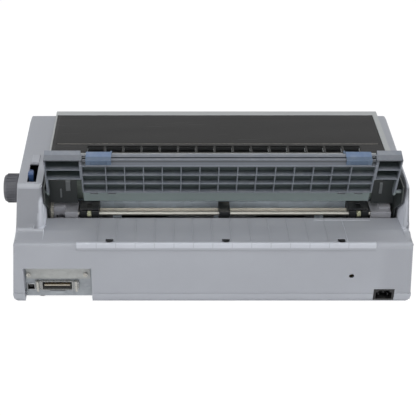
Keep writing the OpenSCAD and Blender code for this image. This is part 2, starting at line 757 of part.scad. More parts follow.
module platen_knob() place() color("#55565c") difference() {
  union() {
    translate([knob_x + 1, rear_y - platen_d, platen_h]) rotate([0, 90, 0])
      rotate_extrude() polygon([
        [0, 0], [knob_r - 1.5, 0], [knob_r, 2], [knob_r - 1, knob_w - 5],
        [knob_r - 2.4, knob_w - 2.2], [knob_r - 5, knob_w - 1], [0, knob_w - 1]
      ]);
    for (a = [0 : 15 : 345]) translate([knob_x + 3, rear_y - platen_d, platen_h])
      rotate([a, 0, 0]) translate([0, -0.8, knob_r - 2]) cube([knob_w - 8, 1.6, 2.4]);
  }
  bar(knob_x, knob_end - 4, platen_d, platen_h, shaft_r);
}

module feed_motor() place() color("#6e7073") {
  block(motor_x, gear_x - 2, motor_d - motor_w / 2, motor_d + motor_w / 2,
    motor_h - motor_w / 2, motor_h + motor_w / 2);
  block(motor_x + 4, gear_x - 6, motor_d - 14, motor_d + 14, frame_plate, motor_h - motor_w / 2);
  bar(gear_x - 2, gear_x + gear_t, motor_d, motor_h, 2.5);
}

module drive_shaft() place() color("#d8d2c4") {
  block(-bracket_left + 0.5, bracket_right - 0.5, drive_d - drive_w / 2, drive_d + drive_w / 2,
    drive_h - drive_w / 2, drive_h + drive_w / 2);
  bar(-frame_left + 1, gear_x + gear_t, drive_d, drive_h, journal_r);
}

module guide_shaft() place() color("#cfd0d2")
  bar(-bracket_left - 14, bracket_right + 14, guide_shaft_d, guide_shaft_h, guide_shaft_r);

module tractor_bracket(x0, x1, leg) difference() {
  union() {
    block(x0, x1, tractor_rear + 1, 118, 90, 112);
    block(leg, leg + 16, 92, 116, frame_plate, 91);
    block(leg - 2, leg + 16, tractor_rear + 10, 104, 111, 116);
  }
  bar(x0 - cut, x1 + cut, guide_shaft_d, guide_shaft_h, guide_shaft_r + fit / 2);
  bar(x0 - cut, x1 + cut, drive_d, drive_h, journal_r + fit);
  block(x0 + 4, x1 - 4, tractor_rear, 100, 94, 101);
}

// The knob-side bracket is stepped back beyond the guide shaft's end
module tractor_bracket_right() place() color("#a3a6aa") difference() {
  tractor_bracket(bracket_right, bracket_end, bracket_end - 16);
  block(bracket_end - 17.5, bracket_end + cut, tractor_rear, tractor_rear + 9.9, 88, 113);
}
module tractor_bracket_left() place() color("#a3a6aa")
  tractor_bracket(-frame_left + 4, -bracket_left, -frame_left + 6);

// Tractors are drawn with their inner face at x = 0, towards +X
module at_tractor(side)
  translate([side > 0 ? tractor_right_x : -tractor_left_x, 0, 0])
    mirror([side > 0 ? 0 : 1, 0, 0]) children();

module tractor(side) at_tractor(side) difference() {
  union() {
    across(0, tractor_w, [
      [tractor_rear, tractor_low], [tractor_front, tractor_low], [tractor_front, 108],
      [tractor_front - 8, tractor_top], [tractor_rear, tractor_top]
    ]);
    for (d = [tractor_rear, door_front]) block(tractor_w - 4, tractor_w, d, d + 1.8,
      tractor_top - cut, door_hinge_h + 1.4);
  }
  bar(-cut, tractor_w + cut, guide_shaft_d, guide_shaft_h, guide_shaft_r + fit);
  bar(-cut, tractor_w + cut, drive_d, drive_h, drive_w * 0.71 + 0.3);
  bar(tractor_w / 2 - wheel_slot / 2 - 0.4, tractor_w / 2 + wheel_slot / 2 + 0.4,
    drive_d, drive_h, pin_wheel_r + 2.2);
  block(tractor_w / 2 - 3.6, tractor_w / 2 + 3.6, tractor_rear - cut, guide_shaft_d,
    guide_shaft_h - 6, tractor_top + cut);
  bar(tractor_w / 2 - 3.6, tractor_w / 2 + 3.6, guide_shaft_d, guide_shaft_h, guide_shaft_r + 2.6);
  pin_y(door_hinge_x, tractor_rear - cut, door_front + 3, door_hinge_h, door_pin_r + fit);
}

module pin_wheel(side) at_tractor(side) difference() {
  union() {
    bar(tractor_w / 2 - wheel_slot / 2, tractor_w / 2 + wheel_slot / 2, drive_d, drive_h,
      pin_wheel_r);
    for (a = [0 : 45 : 315]) translate([tractor_w / 2, rear_y - drive_d, drive_h])
      rotate([a, 0, 0]) translate([0, 0, pin_wheel_r - 1]) cylinder(h = 2.6, r = 1.4);
  }
  block(-cut, tractor_w + cut, drive_d - drive_w / 2 - 0.1, drive_d + drive_w / 2 + 0.1,
    drive_h - drive_w / 2 - 0.1, drive_h + drive_w / 2 + 0.1);
}

module tractor_door(side) at_tractor(side) {
  difference() {
    block(0, tractor_w - 1, door_rear, door_front - 0.3, door_hinge_h - 1, door_hinge_h + 1);
    block(11, 19, door_rear + 4, door_front - 5, door_hinge_h - 2, door_hinge_h + 2);
  }
  pin_y(door_hinge_x, tractor_rear + 0.3, door_front + 1.5, door_hinge_h, door_pin_r);
}

module tractor_lock(side) at_tractor(side) difference() {
  union() {
    bar(tractor_w / 2 - 3, tractor_w / 2 + 3, guide_shaft_d, guide_shaft_h, guide_shaft_r + 2);
    translate([tractor_w / 2 - 2, rear_y - guide_shaft_d, guide_shaft_h]) rotate([-45, 0, 0])
      translate([0, -1.2, 3.5]) cube([4, 2.4, 6]);
  }
  bar(0, tractor_w, guide_shaft_d, guide_shaft_h, guide_shaft_r + fit);
}

module tractor_right() place() color("#222325") tractor(1);
module tractor_left() place() color("#222325") tractor(-1);
module pin_wheel_right() place() color("#3a3b3d") pin_wheel(1);
module pin_wheel_left() place() color("#3a3b3d") pin_wheel(-1);
module tractor_door_right() place() color("#2a2b2e") tractor_door(1);
module tractor_door_left() place() color("#2a2b2e") tractor_door(-1);
module tractor_lock_right() place() color("#a79a63") tractor_lock(1);
module tractor_lock_left() place() color("#a79a63") tractor_lock(-1);

module centre_support() place() color("#26272a") difference() {
  across(-29, -12, [
    [tractor_rear, 92], [tractor_front - 2, 89], [tractor_front - 2, 108], [112, 113],
    [tractor_rear, 113]
  ]);
  bar(-30, -11, guide_shaft_d, guide_shaft_h, guide_shaft_r + fit);
  bar(-30, -11, drive_d, drive_h, drive_w * 0.71 + 0.3);
}

module paper_pan() place() color("#8f9496") {
  across(-frame_left + 7, bracket_end - 3, [
    [tractor_front + 2, 90], [tractor_front + 2, 105], [131, 109.4], [142, 110.5], [147, 117],
    [148.2, 116.3], [142.7, 108.9], [131.3, 107.8], [tractor_front + 3.5, 104],
    [tractor_front + 3.5, 90]
  ]);
  for (x = [-180, -20, 140]) block(x, x + 14, tractor_front + 3, tractor_front + 6, frame_plate, 100);
}

module release_lever() place() color("#3f5878") difference() {
  union() {
    across(lever_x, lever_x + lever_w, [
      [lever_d - 5, lever_h], [lever_d + 4, lever_h], [78.5, 178], [78.5, 186], [70, 186], [71, 176]
    ]);
    bar(lever_x, lever_x + lever_w, lever_d, lever_h, 6.5);
    across(lever_x - 0.5, lever_x + lever_w + 0.5, [[70.5, 183], [79, 183], [78, 188.5], [71.5, 188.5]]);
  }
  bar(lever_x - cut, lever_x + lever_w + cut, lever_d, lever_h, lever_pin_r + fit);
}

module paper_bail() place() color("#9a9da1") {
  bar(-bail_left, bail_right, bail_bar_d, bail_bar_h, 2);
  for (i = [0 : 3]) bar(-180 + 110 * i, -168 + 110 * i, bail_bar_d, bail_bar_h, bail_roller_r);
  for (x = [-bail_left - 2, bail_right]) across(x, x + 2, [
    [bail_bar_d - 3, bail_bar_h - 3], [bail_bar_d + 1.5, bail_bar_h - 4], [bail_d + 4, bail_h - 3],
    [bail_d + 3, bail_h + 4], [bail_d - 4, bail_h + 3]
  ]);
  bar(bail_right, frame_right + frame_t, bail_d, bail_h, 2.5);
  bar(-frame_left - frame_t, -bail_left, bail_d, bail_h, 2.5);
}

module carriage() place() color("#3d3f42") translate([carriage_x, 0, 0]) difference() {
  union() {
    block(-carriage_w / 2, carriage_w / 2, rod_d - 12, rail_d - 4, rod_h - 9.5, carriage_top);
    block(-carriage_w / 2 + 8, carriage_w / 2 - 8, rail_d - 5, belt_d - 14, rail_h - 4, carriage_top);
    block(-8, 8, belt_d - pulley_r - belt_t - gap - 3, belt_d - pulley_r - belt_t - gap,
      belt_h, carriage_top - 1);
  }
  bar(-carriage_w, carriage_w, rod_d, rod_h, rod_r + fit);
  block(-carriage_w, carriage_w, rail_d - 1.3, rail_d + 1.3, rod_h - 12, rail_h + 0.3);
}

module print_head() place() color("#8c8f93") translate([carriage_x, 0, 0]) {
  across(-14, 14, [
    [ribbon_d + 1.4, 127], [rod_d - 26, 121], [rod_d - 26, carriage_top],
    [rod_d + 12, carriage_top], [rod_d + 12, 138], [rod_d - 26, 138], [ribbon_d + 1.4, 134]
  ]);
  for (i = [0 : 4]) block(-14, 14, rod_d - 22 + 7 * i, rod_d - 18.5 + 7 * i, 137, 147);
}

module carriage_rod() place() color("#d3d4d6")
  bar(-frame_left - frame_t, frame_right + frame_t, rod_d, rod_h, rod_r);

module carriage_motor() place() color("#6e7073") {
  post(pulley_right, belt_d, frame_plate, belt_h - 4, 15);
  post(pulley_right, belt_d, belt_h - 5, belt_h + belt_w + 1, 2.5);
}

module pulley(x, bore) difference() {
  union() {
    post(x, belt_d, belt_h - 1.6, belt_h - 0.3, pulley_r + 1.4);
    post(x, belt_d, belt_h - 1, belt_h + belt_w + 0.3, pulley_r - 0.3);
  }
  post(x, belt_d, belt_h - 3, belt_h + belt_w + 3, bore + fit);
}

module carriage_pulley() place() color("#c8c8c2") pulley(pulley_right, 2.5);
module idler_pulley() place() color("#c8c8c2") pulley(-pulley_left, 3);

module timing_belt() place() color("#1f2021") {
  run = pulley_r + belt_t;
  difference() {
    union() {
      block(-pulley_left, pulley_right, belt_d - run, belt_d + run, belt_h, belt_h + belt_w);
      for (x = [-pulley_left, pulley_right]) post(x, belt_d, belt_h, belt_h + belt_w, run);
    }
    block(-pulley_left, pulley_right, belt_d - pulley_r, belt_d + pulley_r, belt_h - cut,
      belt_h + belt_w + cut);
    for (x = [-pulley_left, pulley_right]) post(x, belt_d, belt_h - cut, belt_h + belt_w + cut, pulley_r);
  }
}

module ribbon_cartridge() place() color("#2d2e30") {
  block(-cartridge_left, cartridge_right, cartridge_rear, cartridge_rear + 32,
    cartridge_low, cartridge_low + cartridge_h);
  for (x = [-cartridge_left, cartridge_right - 14])
    block(x, x + 14, ribbon_d, cartridge_rear + 1, cartridge_low - 14, cartridge_low + cartridge_h - 8);
  for (span = [[cartridge_right, frame_right], [-frame_left, -cartridge_left]])
    block(span[0], span[1], cartridge_rear + 8, cartridge_rear + 28, cartridge_low + 4,
      cartridge_low + 14);
  block(-cartridge_left + 14, cartridge_right - 14, ribbon_d, ribbon_d + 0.5, 124, 137);
}

module main_board() place() color("#2f6b45") {
  block(62, half_w - 15, 22, 150, board_z, board_z + board_t);
  for (part = [[90, 60, 26, 26, 3], [150, 90, 34, 14, 4], [210, 80, 40, 16, 4], [120, 120, 30, 12, 9]])
    block(part[0], part[0] + part[2], part[1], part[1] + part[3], board_z + board_t,
      board_z + board_t + part[4]);
}

module power_supply() place() color("#b08a4c") {
  block(-half_w + 15, -62, 26, 150, board_z, board_z + board_t);
  block(-250, -196, 60, 112, board_z + board_t, board_z + board_t + 22);
  for (x = [-165, -140, -115]) post(x, 80, board_z + board_t, board_z + board_t + 20, 9);
  block(-180, -90, 118, 124, board_z + board_t, board_z + board_t + 20);
}

module interface_plate() place() color("#a9acae") difference() {
  union() {
    block(recess_x + 0.2, recess_end - 0.2, plate_d, plate_d + plate_t, foot_h + 0.3, recess_h - 0.2);
    block(port_x - tab_w / 2, port_x + tab_w / 2, plate_d - 1.8, plate_d + 0.2, foot_h + 2.6,
      foot_h + 10.2);
  }
  block(port_x - port_w / 2, port_x + port_w / 2, 0, plate_d + 5, port_z - port_h / 2, port_z + port_h / 2);
  block(usb_x - 6, usb_x + 6, 0, plate_d + 5, usb_z - 5.5, usb_z + 5.5);
}

module option_plate() place() color("#b4b5b2") difference() {
  block(recess_x + 3, recess_end - 2, plate_d - 1.5, plate_d, 36, recess_h - 2.5);
  for (x = [recess_x + 10, recess_end - 5.5]) pin_y(x, plate_d - 3, plate_d + 1, 44, 1.6 + fit);
}

module option_screws() place() color("#cfcfcb")
  for (x = [recess_x + 10, recess_end - 5.5]) {
    difference() {
      pin_y(x, plate_d - 3.7, plate_d - 1.5, 44, 3.6);
      block(x - 2.6, x + 2.6, plate_d - 4, plate_d - 2.8, 43.6, 44.4);
      block(x - 0.4, x + 0.4, plate_d - 4, plate_d - 2.8, 41.4, 46.6);
    }
    pin_y(x, plate_d - 2, plate_d, 44, 1.6);
  }

module usb_port() place() color("#bfc0c2") {
  difference() {
    block(usb_x - 6, usb_x + 6, plate_d - 1.5, plate_d + 13, usb_z - 5.5, usb_z + 5.5);
    block(usb_x - 4.3, usb_x + 4.3, plate_d - 3, plate_d + 9, usb_z - 3.9, usb_z + 2.4);
    block(usb_x - 3, usb_x + 3, plate_d - 3, plate_d + 9, usb_z + 2, usb_z + 3.9);
  }
  block(usb_x - 2.6, usb_x + 2.6, plate_d + 0.5, plate_d + 9.5, usb_z - 1.6, usb_z + 1.6);
}

module parallel_port() place() color("#c4c2bb") {
  difference() {
    union() {
      block(port_x - port_w / 2, port_x + port_w / 2, plate_d - port_out, plate_d + 14,
        port_z - port_h / 2, port_z + port_h / 2);
      block(port_x - clip_x - 4, port_x + clip_x + 4, plate_d - 4.2, plate_d,
        port_z - port_h / 2 + 1, port_z + port_h / 2 - 1);
    }
    block(port_x - port_w / 2 + port_end, port_x + port_w / 2 - port_end,
      plate_d - port_out - cut, plate_d + 4, port_z - port_h / 2 + 1, port_z + port_h / 2 - 1);
    for (x = [-clip_x, clip_x]) post(port_x + x, clip_d, port_z - port_h, port_z + port_h, clip_pin_r + fit);
  }
  block(port_x - port_w / 2 + 5, port_x + port_w / 2 - 5, plate_d - port_out + 1.5, plate_d + 5,
    port_z - tongue, port_z + tongue);
}

module port_clip(x) {
  top = port_z + port_h / 2 - 1 + 0.3;
  low = port_z - port_h / 2 + 1 - 0.3;
  for (z = [low - 1.2, top]) block(x - 1.5, x + 1.5, clip_d - clip_reach, clip_d + 1.5, z, z + 1.2);
  block(x - 1.5, x + 1.5, clip_d - clip_reach, clip_d - clip_reach + 1.2, low - 1, top + 1);
  post(x, clip_d, low - 1, low + 2.3, clip_pin_r);
  post(x, clip_d, top - 2.3, top + 1, clip_pin_r);
}

module port_clip_right() place() color("#cbcac4") port_clip(port_x + clip_x);
module port_clip_left() place() color("#cbcac4") port_clip(port_x - clip_x);

module power_inlet() place() color("#1d1d1f") {
  difference() {
    block(inlet_x - inlet_w / 2, inlet_x + inlet_w / 2, 0.3, 22, inlet_z - inlet_h / 2,
      inlet_z + inlet_h / 2);
    block(inlet_x - inlet_w / 2 + 3.6, inlet_x + inlet_w / 2 - 3.6, -cut, 17,
      inlet_z - inlet_h / 2 + 2.6, inlet_z + inlet_h / 2 - 6);
    block(inlet_x - inlet_w / 2 + 7, inlet_x + inlet_w / 2 - 7, -cut, 17,
      inlet_z, inlet_z + inlet_h / 2 - 2.6);
  }
  for (p = [[-7, -2.2], [7, -2.2], [0, 1.8]])
    block(inlet_x + p[0] - 1, inlet_x + p[0] + 1, 5, 18, inlet_z + p[1] - 2, inlet_z + p[1] + 2);
}

button_x = [for (i = [0 : 2]) panel_x + 30 + i * button_pitch];
button_half = 4.5;

module control_panel() place() color("#7d8188") slope(panel_s) difference() {
  union() {
    translate([panel_x, -panel_len / 2, -wall]) cube([panel_w, panel_len, wall + 0.8]);
    translate([panel_x + 5, -panel_len / 2 + 4, -wall - 8]) cube([panel_w - 10, panel_len - 8, 8.5]);
  }
  translate([panel_x + 7, -panel_len / 2 + 6, -wall - 6]) cube([panel_w - 14, panel_len - 12, 6]);
  for (x = button_x) translate([x - gap / 2, -8 - gap / 2, -wall - 1])
    cube([button_w + gap, 2 * button_half + gap, wall + 3]);
  for (i = [0 : 4]) translate([panel_x + 34 + 20 * i, 9, -wall - 1])
    cylinder(h = wall + 3, r = 1.5 + fit);
}

module status_lights() place() color("#7fbf6a") slope(panel_s)
  for (i = [0 : 4]) translate([panel_x + 34 + 20 * i, 9, -wall - 6]) cylinder(h = wall + 7, r = 1.5);

module push_button(x) slope(panel_s) {
  translate([x, -8, -wall - 1.5]) cube([button_w, 2 * button_half, wall + 2.3 + button_out]);
  translate([x - 1.5, -9.5, -wall - 2.5]) cube([button_w + 3, 2 * button_half + 3, 1.8]);
}

module button_right() place() color("#c7c9cc") push_button(button_x[2]);
module button_middle() place() color("#c7c9cc") push_button(button_x[1]);
module button_left() place() color("#c7c9cc") push_button(button_x[0]);

module front_cover() place() color("#8f949c") {
  difference() {
    block(-front_cover_w / 2, front_cover_w / 2, body_d - wall, body_d, front_cover_z,
      front_cover_z + front_cover_h);
    block(-30, 30, body_d - 1.2, body_d + cut, front_cover_z + front_cover_h - 8,
      front_cover_z + front_cover_h + cut);
  }
  bar(-front_cover_w / 2 - 3.6, front_cover_w / 2 + 3.6, body_d - wall / 2, front_hinge_h, 0.9);
}

module power_switch() place() color("#2c2d30") {
  across(switch_x, switch_x + switch_w, [
    [switch_d - 4, switch_z - 5], [switch_d - 4, switch_z + 5], [body_d, switch_z + switch_h / 2],
    [body_d - 2, switch_z], [body_d - 0.6, switch_z - switch_h / 2]
  ]);
  bar(switch_x - 2.8, switch_x + switch_w + 2.8, switch_d, switch_z, switch_pin_r);
}

lower_case();
feet();
upper_case();
base_frame();
side_frame_right();
side_frame_left();
top_cover();
cover_window();
paper_guide();
edge_guide_right();
edge_guide_left();
platen();
platen_shaft();
platen_gear();
platen_knob();
feed_idler();
feed_pinion();
feed_motor();
drive_shaft();
tractor_gear();
guide_shaft();
tractor_bracket_right();
tractor_bracket_left();
tractor_right();
tractor_left();
pin_wheel_right();
pin_wheel_left();
tractor_door_right();
tractor_door_left();
tractor_lock_right();
tractor_lock_left();
centre_support();
paper_pan();
release_lever();
paper_bail();
carriage();
print_head();
carriage_rod();
carriage_motor();
carriage_pulley();
idler_pulley();
timing_belt();
ribbon_cartridge();
main_board();
power_supply();
interface_plate();
option_plate();
option_screws();
usb_port();
parallel_port();
port_clip_right();
port_clip_left();
power_inlet();
control_panel();
status_lights();
button_right();
button_middle();
button_left();
front_cover();
power_switch();
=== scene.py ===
import json
import math

import bmesh
import bpy
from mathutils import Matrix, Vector


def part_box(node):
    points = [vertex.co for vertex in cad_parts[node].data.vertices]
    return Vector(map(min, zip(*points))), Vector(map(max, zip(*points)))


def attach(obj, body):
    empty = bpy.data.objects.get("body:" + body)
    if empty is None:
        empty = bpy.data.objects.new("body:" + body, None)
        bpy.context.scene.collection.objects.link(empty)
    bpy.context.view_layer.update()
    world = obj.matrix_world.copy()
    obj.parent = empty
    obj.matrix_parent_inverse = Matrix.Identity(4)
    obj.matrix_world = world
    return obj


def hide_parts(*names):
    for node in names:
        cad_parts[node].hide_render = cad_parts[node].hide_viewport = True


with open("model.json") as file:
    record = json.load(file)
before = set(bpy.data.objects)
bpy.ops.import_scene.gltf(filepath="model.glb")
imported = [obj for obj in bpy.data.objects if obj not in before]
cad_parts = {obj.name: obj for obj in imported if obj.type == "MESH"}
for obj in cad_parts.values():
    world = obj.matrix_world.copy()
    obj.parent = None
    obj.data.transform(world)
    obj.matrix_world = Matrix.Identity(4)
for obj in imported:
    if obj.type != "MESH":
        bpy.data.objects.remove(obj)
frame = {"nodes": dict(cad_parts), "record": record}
nodes = frame["nodes"]
body_of_node = {n: b for b, group in frame["record"]["behaviour"]["bodies"].items() for n in group}
slot_of_node = {s["node"]: s["material_slot"] for s in frame["record"]["subparts"]}
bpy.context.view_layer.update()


# ---------------------------------------------------------------- The studio
# A camera behind and above the printer, level from side to side and looking 32 degrees down, a
# pale floor that blends into a white room, and five large soft lamps.
case_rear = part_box("upper_case")[1].y
lip_depth = 0.0025
camera_back = 1.2944
camera_height = 0.98
camera_side = 0.0619
camera_drop = math.radians(32)
camera_lens = 91.64
camera_shift = 0.1034

camera = bpy.data.objects.new("camera", bpy.data.cameras.new("camera"))
camera.data.sensor_width = 36
camera.data.lens = camera_lens
camera.data.shift_x = camera_shift
camera.data.clip_start = 0.05
camera.location = (camera_side, case_rear - lip_depth + camera_back, camera_height)
camera.rotation_euler = (math.radians(90) - camera_drop, 0, math.radians(180))
bpy.context.scene.collection.objects.link(camera)
bpy.context.scene.camera = camera
bpy.context.scene.view_settings.view_transform = "Standard"


class Strand:
    """A value on its way through a finish's nodes, where sums and products add Math nodes."""

    def __init__(self, tree, socket=None):
        self.tree = tree
        self.socket = socket

    def into(self, socket):
        self.tree.links.new(self.socket, socket)

    def node(self, kind, settings=(), inputs=(), out=0):
        """Makes any node: first its settings, then the values or strands of its inputs."""
        made = self.tree.nodes.new("ShaderNode" + kind)
        for key, value in dict(settings).items():
            setattr(made, key, value)
        for key, value in dict(inputs).items():
            if isinstance(value, Strand):
                value.into(made.inputs[key])
            else:
                made.inputs[key].default_value = value
        return Strand(self.tree, made.outputs[out])

    def maths(self, operation, *terms):
        return self.node("Math", {"operation": operation}, dict(enumerate(terms)))

    def __add__(self, other):
        return self.maths("ADD", self, other)

    def __sub__(self, other):
        return self.maths("SUBTRACT", self, other)

    def __rsub__(self, other):
        return self.maths("SUBTRACT", other, self)

    def __mul__(self, other):
        return self.maths("MULTIPLY", self, other)

    __radd__ = __add__
    __rmul__ = __mul__

    def ramp(self, low, high):
        """0 below low, 1 above high and a soft step between them."""
        values = {"Value": self, "From Min": low, "From Max": high}
        return self.node("MapRange", {"interpolation_type": "SMOOTHSTEP"}, values)

    def within(self, low, high, blur):
        """1 between low and high and 0 outside them."""
        return self.ramp(low - blur, low + blur) * (1 - self.ramp(high - blur, high + blur))

    def mix(self, low, high):
        """The colour low where this is 0, and high where it is 1."""
        return self.node("Mix", {"data_type": "RGBA"}, {0: self, 6: low, 7: high}, 2)

    def coordinate(self, axis):
        """This place's X, Y or Z."""
        return self.node("SeparateXYZ", inputs={0: self}, out=axis)

    def stretch(self, x, y, z):
        """This place in space, scaled differently along each axis."""
        settings = {"operation": "MULTIPLY"}
        return self.node("VectorMath", settings, {0: self, 1: (x, y, z)})

    def cloud(self, scale, detail=2.0, rough=0.5):
        """Soft noise of about 1/scale metres."""
        values = {"Vector": self, "Scale": scale, "Detail": detail, "Roughness": rough}
        return self.node("TexNoise", {"noise_dimensions": "3D"}, values, "Fac")

    def greater(self, other):
        """The greater of this and another value."""
        return self.maths("MAXIMUM", self, other)

    def unsigned(self):
        """This value without its sign."""
        return self.maths("ABSOLUTE", self)

    def reach(self, way):
        """How far this place or direction goes along a way, which is 1 long."""
        return self.node("VectorMath", {"operation": "DOT_PRODUCT"}, {0: self, 1: way}, "Value")


def plainly_seen(start):
    """1 on rays of the camera, of reflections and through glass, and 0 on the lamps' own light."""
    kinds = ("Is Camera Ray", "Is Glossy Ray", "Is Transmission Ray")
    straight, mirrored, through = [start.node("LightPath", out=kind) for kind in kinds]
    return straight.greater(mirrored.greater(through))


room_light = 0.3
world = bpy.data.worlds.new("white_room")
bpy.context.scene.world = world
world.use_nodes = True
room = Strand(world.node_tree)
sky = world.node_tree.nodes["Background"]
sky.inputs["Color"].default_value = (1, 1, 1, 1)
(plainly_seen(room) * (1 - room_light) + room_light).into(sky.inputs["Strength"])


lamp_flatness = 0.6


def softbox(name, place, width, power, aim_height=0.1):
    """A rectangular lamp, a little wider than high, turned towards the printer's middle."""
    lamp = bpy.data.objects.new(name, bpy.data.lights.new(name, "AREA"))
    lamp.data.shape = "RECTANGLE"
    lamp.data.size = width
    lamp.data.size_y = width * lamp_flatness
    lamp.data.energy = power
    lamp.location = place
    way = Vector((0, 0, aim_height)) - Vector(place)
    lamp.rotation_euler = way.to_track_quat("-Z", "Y").to_euler()
    bpy.context.scene.collection.objects.link(lamp)


softbox("overhead", (0, 1.3, 2.3), width=1.8, power=30)
softbox("left_side", (2.5, 1.0, 0.9), width=1.4, power=26)
softbox("right_side", (-2.5, 1.0, 0.9), width=1.4, power=26)
softbox("rear", (0.2, 2.9, 0.7), width=1.8, power=10, aim_height=0.05)
softbox("front", (0.3, -1.3, 2.4), width=1.6, power=6)

floor_half = 12
floor_white = 0.9
floor_glow = 1.08
glow_share = 0.86
corners = [(-floor_half, -floor_half, 0), (floor_half, -floor_half, 0)]
corners += [(floor_half, floor_half, 0), (-floor_half, floor_half, 0)]
floor_mesh = bpy.data.meshes.new("floor")
floor_mesh.from_pydata(corners, [], [(0, 1, 2, 3)])
floor = bpy.data.objects.new("floor", floor_mesh)
bpy.context.scene.collection.objects.link(floor)
paper = bpy.data.materials.new("white_paper_floor")
paper.use_nodes = True
floor_mesh.materials.append(paper)
sheet = Strand(paper.node_tree)
lit = paper.node_tree.nodes["Principled BSDF"]
lit.inputs["Base Color"].default_value = (floor_white, floor_white, floor_white, 1)
lit.inputs["Roughness"].default_value = 0.9
lit.inputs["Specular IOR Level"].default_value = 0
glow = sheet.node("Emission", inputs={"Color": (1, 1, 1, 1), "Strength": floor_glow})
lit_paper = Strand(paper.node_tree, lit.outputs[0])
blend = {0: plainly_seen(sheet) * glow_share, 1: lit_paper, 2: glow}
sheet.node("MixShader", inputs=blend).into(paper.node_tree.nodes["Material Output"].inputs["Surface"])


# ---------------------------------------------------------------- The housing
# Two thick mouldings in light blue-grey polystyrene with a fine spark-eroded grain, which meet in
# a seam near the foot, and four rubber feet pressed into the floor. Their corners are rounded.
def paint(red, green, blue):
    """A colour on a 0 to 255 scale, as the shader's own linear numbers."""
    parts = [v / 255 for v in (red, green, blue)]
    return (*[v / 12.92 if v < 0.04045 else ((v + 0.055) / 1.055) ** 2.4 for v in parts], 1.0)


def finish(name, colour, rough, metal=0.0, **fixed):
    """A new material: its shader's inputs, and the place on the object where its nodes start."""
    material = bpy.data.materials.new(name)
    material.use_nodes = True
    shader = material.node_tree.nodes["Principled BSDF"].inputs
    shader["Base Color"].default_value = colour
    shader["Roughness"].default_value = rough
    shader["Metallic"].default_value = metal
    for key, value in fixed.items():
        shader[key.replace("_", " ")].default_value = value
    return material, shader, Strand(material.node_tree).node("TexCoord", out="Object")


def relief(shader, height, depth, strength=1.0):
    """Raises the surface by a height from 0 to 1, times a depth in metres."""
    values = {"Height": height, "Distance": depth, "Strength": strength}
    height.node("Bump", inputs=values).into(shader["Normal"])


def shade(colour, by):
    """A colour made lighter or darker."""
    return (*[min(1, v * by) for v in colour[:3]], 1.0)


def moulded(name, colour, rough=0.5, grain=1500, depth=0.00005, drift=0.05, dust=0.1, **fixed):
    """Moulded plastic: a fine grain, a slow drift in colour, and dust on the faces that look up."""
    material, shader, place = finish(name, colour, rough, **fixed)
    slow = place.cloud(9, 3).ramp(0.3, 0.7)
    base = slow.mix(shade(colour, 1 - drift), shade(colour, 1 + drift))
    facing_up = place.node("TexCoord", out="Normal").coordinate("Z")
    settled = facing_up.ramp(0.7, 1.0) * place.cloud(70, 5, 0.65).ramp(0.42, 0.75) * dust
    settled.mix(base, paint(190, 188, 180)).into(shader["Base Color"])
    fine = place.cloud(grain, 1)
    (fine * 0.12 + slow * 0.04 + settled * 1.2 + (rough - 0.08)).into(shader["Roughness"])
    relief(shader, fine, depth, strength=0.5)
    return material


def tinted(material, tint, where):
    """Multiplies a finish's colour by a tint, as far as where goes from 0 to 1."""
    shader = material.node_tree.nodes["Principled BSDF"].inputs
    base = Strand(material.node_tree, shader["Base Color"].links[0].from_socket)
    settings = {"data_type": "RGBA", "blend_type": "MULTIPLY"}
    base.node("Mix", settings, {0: where, 6: base, 7: (*tint, 1)}, 2).into(shader["Base Color"])


def toned(material, by, **band):
    """Makes a finish lighter or darker in a box of places: x, y or z=(low, high, blur).

    nx, ny and nz bound the direction that the surface faces in the same way."""
    start = Strand(material.node_tree)
    masks = []
    for axis, limits in band.items():
        source = start.node("TexCoord", out="Normal" if axis[0] == "n" else "Object")
        masks.append(source.coordinate(axis[-1].upper()).within(*limits))
    tinted(material, (by, by, by), math.prod(masks))


weld_distance = 2e-6
flat_angle = math.radians(0.5)
edge_share = 0.3


def refine(node, material, edge=0.0003, steps=2, angle=32, big=None, big_edge=0.004):
    """A copy of a node's solid with joined flat faces and rounded edges, which stands for it.

    big picks out the edges that get the wide rounding big_edge."""
    mesh = nodes[node].data.copy()
    mesh.materials.clear()
    mesh.materials.append(material)
    work = bmesh.new()
    work.from_mesh(mesh)
    bmesh.ops.remove_doubles(work, verts=work.verts, dist=weld_distance)
    bmesh.ops.dissolve_limit(
        work, angle_limit=flat_angle, verts=work.verts, edges=work.edges, delimit=set()
    )
    weight = work.edges.layers.float.new("bevel_weight_edge")
    widest = big_edge if big else edge
    for line in work.edges:
        if len(line.link_faces) == 2 and line.calc_face_angle(0) > math.radians(angle):
            near = [e.calc_length() for end in line.verts for e in end.link_edges]
            fitting = min(edge, edge_share * min(near))
            line[weight] = 1.0 if big and big(line) else fitting / widest
    bmesh.ops.triangulate(work, faces=[f for f in work.faces if len(f.verts) > 4])
    for face in work.faces:
        face.smooth = True
    work.to_mesh(mesh)
    work.free()
    piece = bpy.data.objects.new(node + "_finished", mesh)
    bpy.context.scene.collection.objects.link(piece)
    bevel = piece.modifiers.new("rounded", "BEVEL")
    bevel.limit_method = "WEIGHT"
    bevel.width = widest
    bevel.segments = steps
    bevel.use_clamp_overlap = False
    bevel.miter_outer = "MITER_SHARP"
    flat = piece.modifiers.new("flat_faces", "WEIGHTED_NORMAL")
    flat.weight = 80
    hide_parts(node)
    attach(piece, body_of_node[node])


def dress(node, material, edge=0.0003, angle=40):
    """Gives a node's own solid its material and softened edges."""
    solid = nodes[node]
    solid.data.materials.clear()
    solid.data.materials.append(material)
    bevel = solid.modifiers.new("rounded", "BEVEL")
    bevel.limit_method = "ANGLE"
    bevel.angle_limit = math.radians(angle)
    bevel.width = edge
    bevel.segments = 1


# The part's own origin, in millimetres across and forward from the rear face.
origin_x = 9.5
origin_back = 191.25


def at(x, back, height):
    """A place in metres from millimetres: across, forward from the rear face, and up."""
    return Vector((x - origin_x, origin_back - back, height)) / 1000


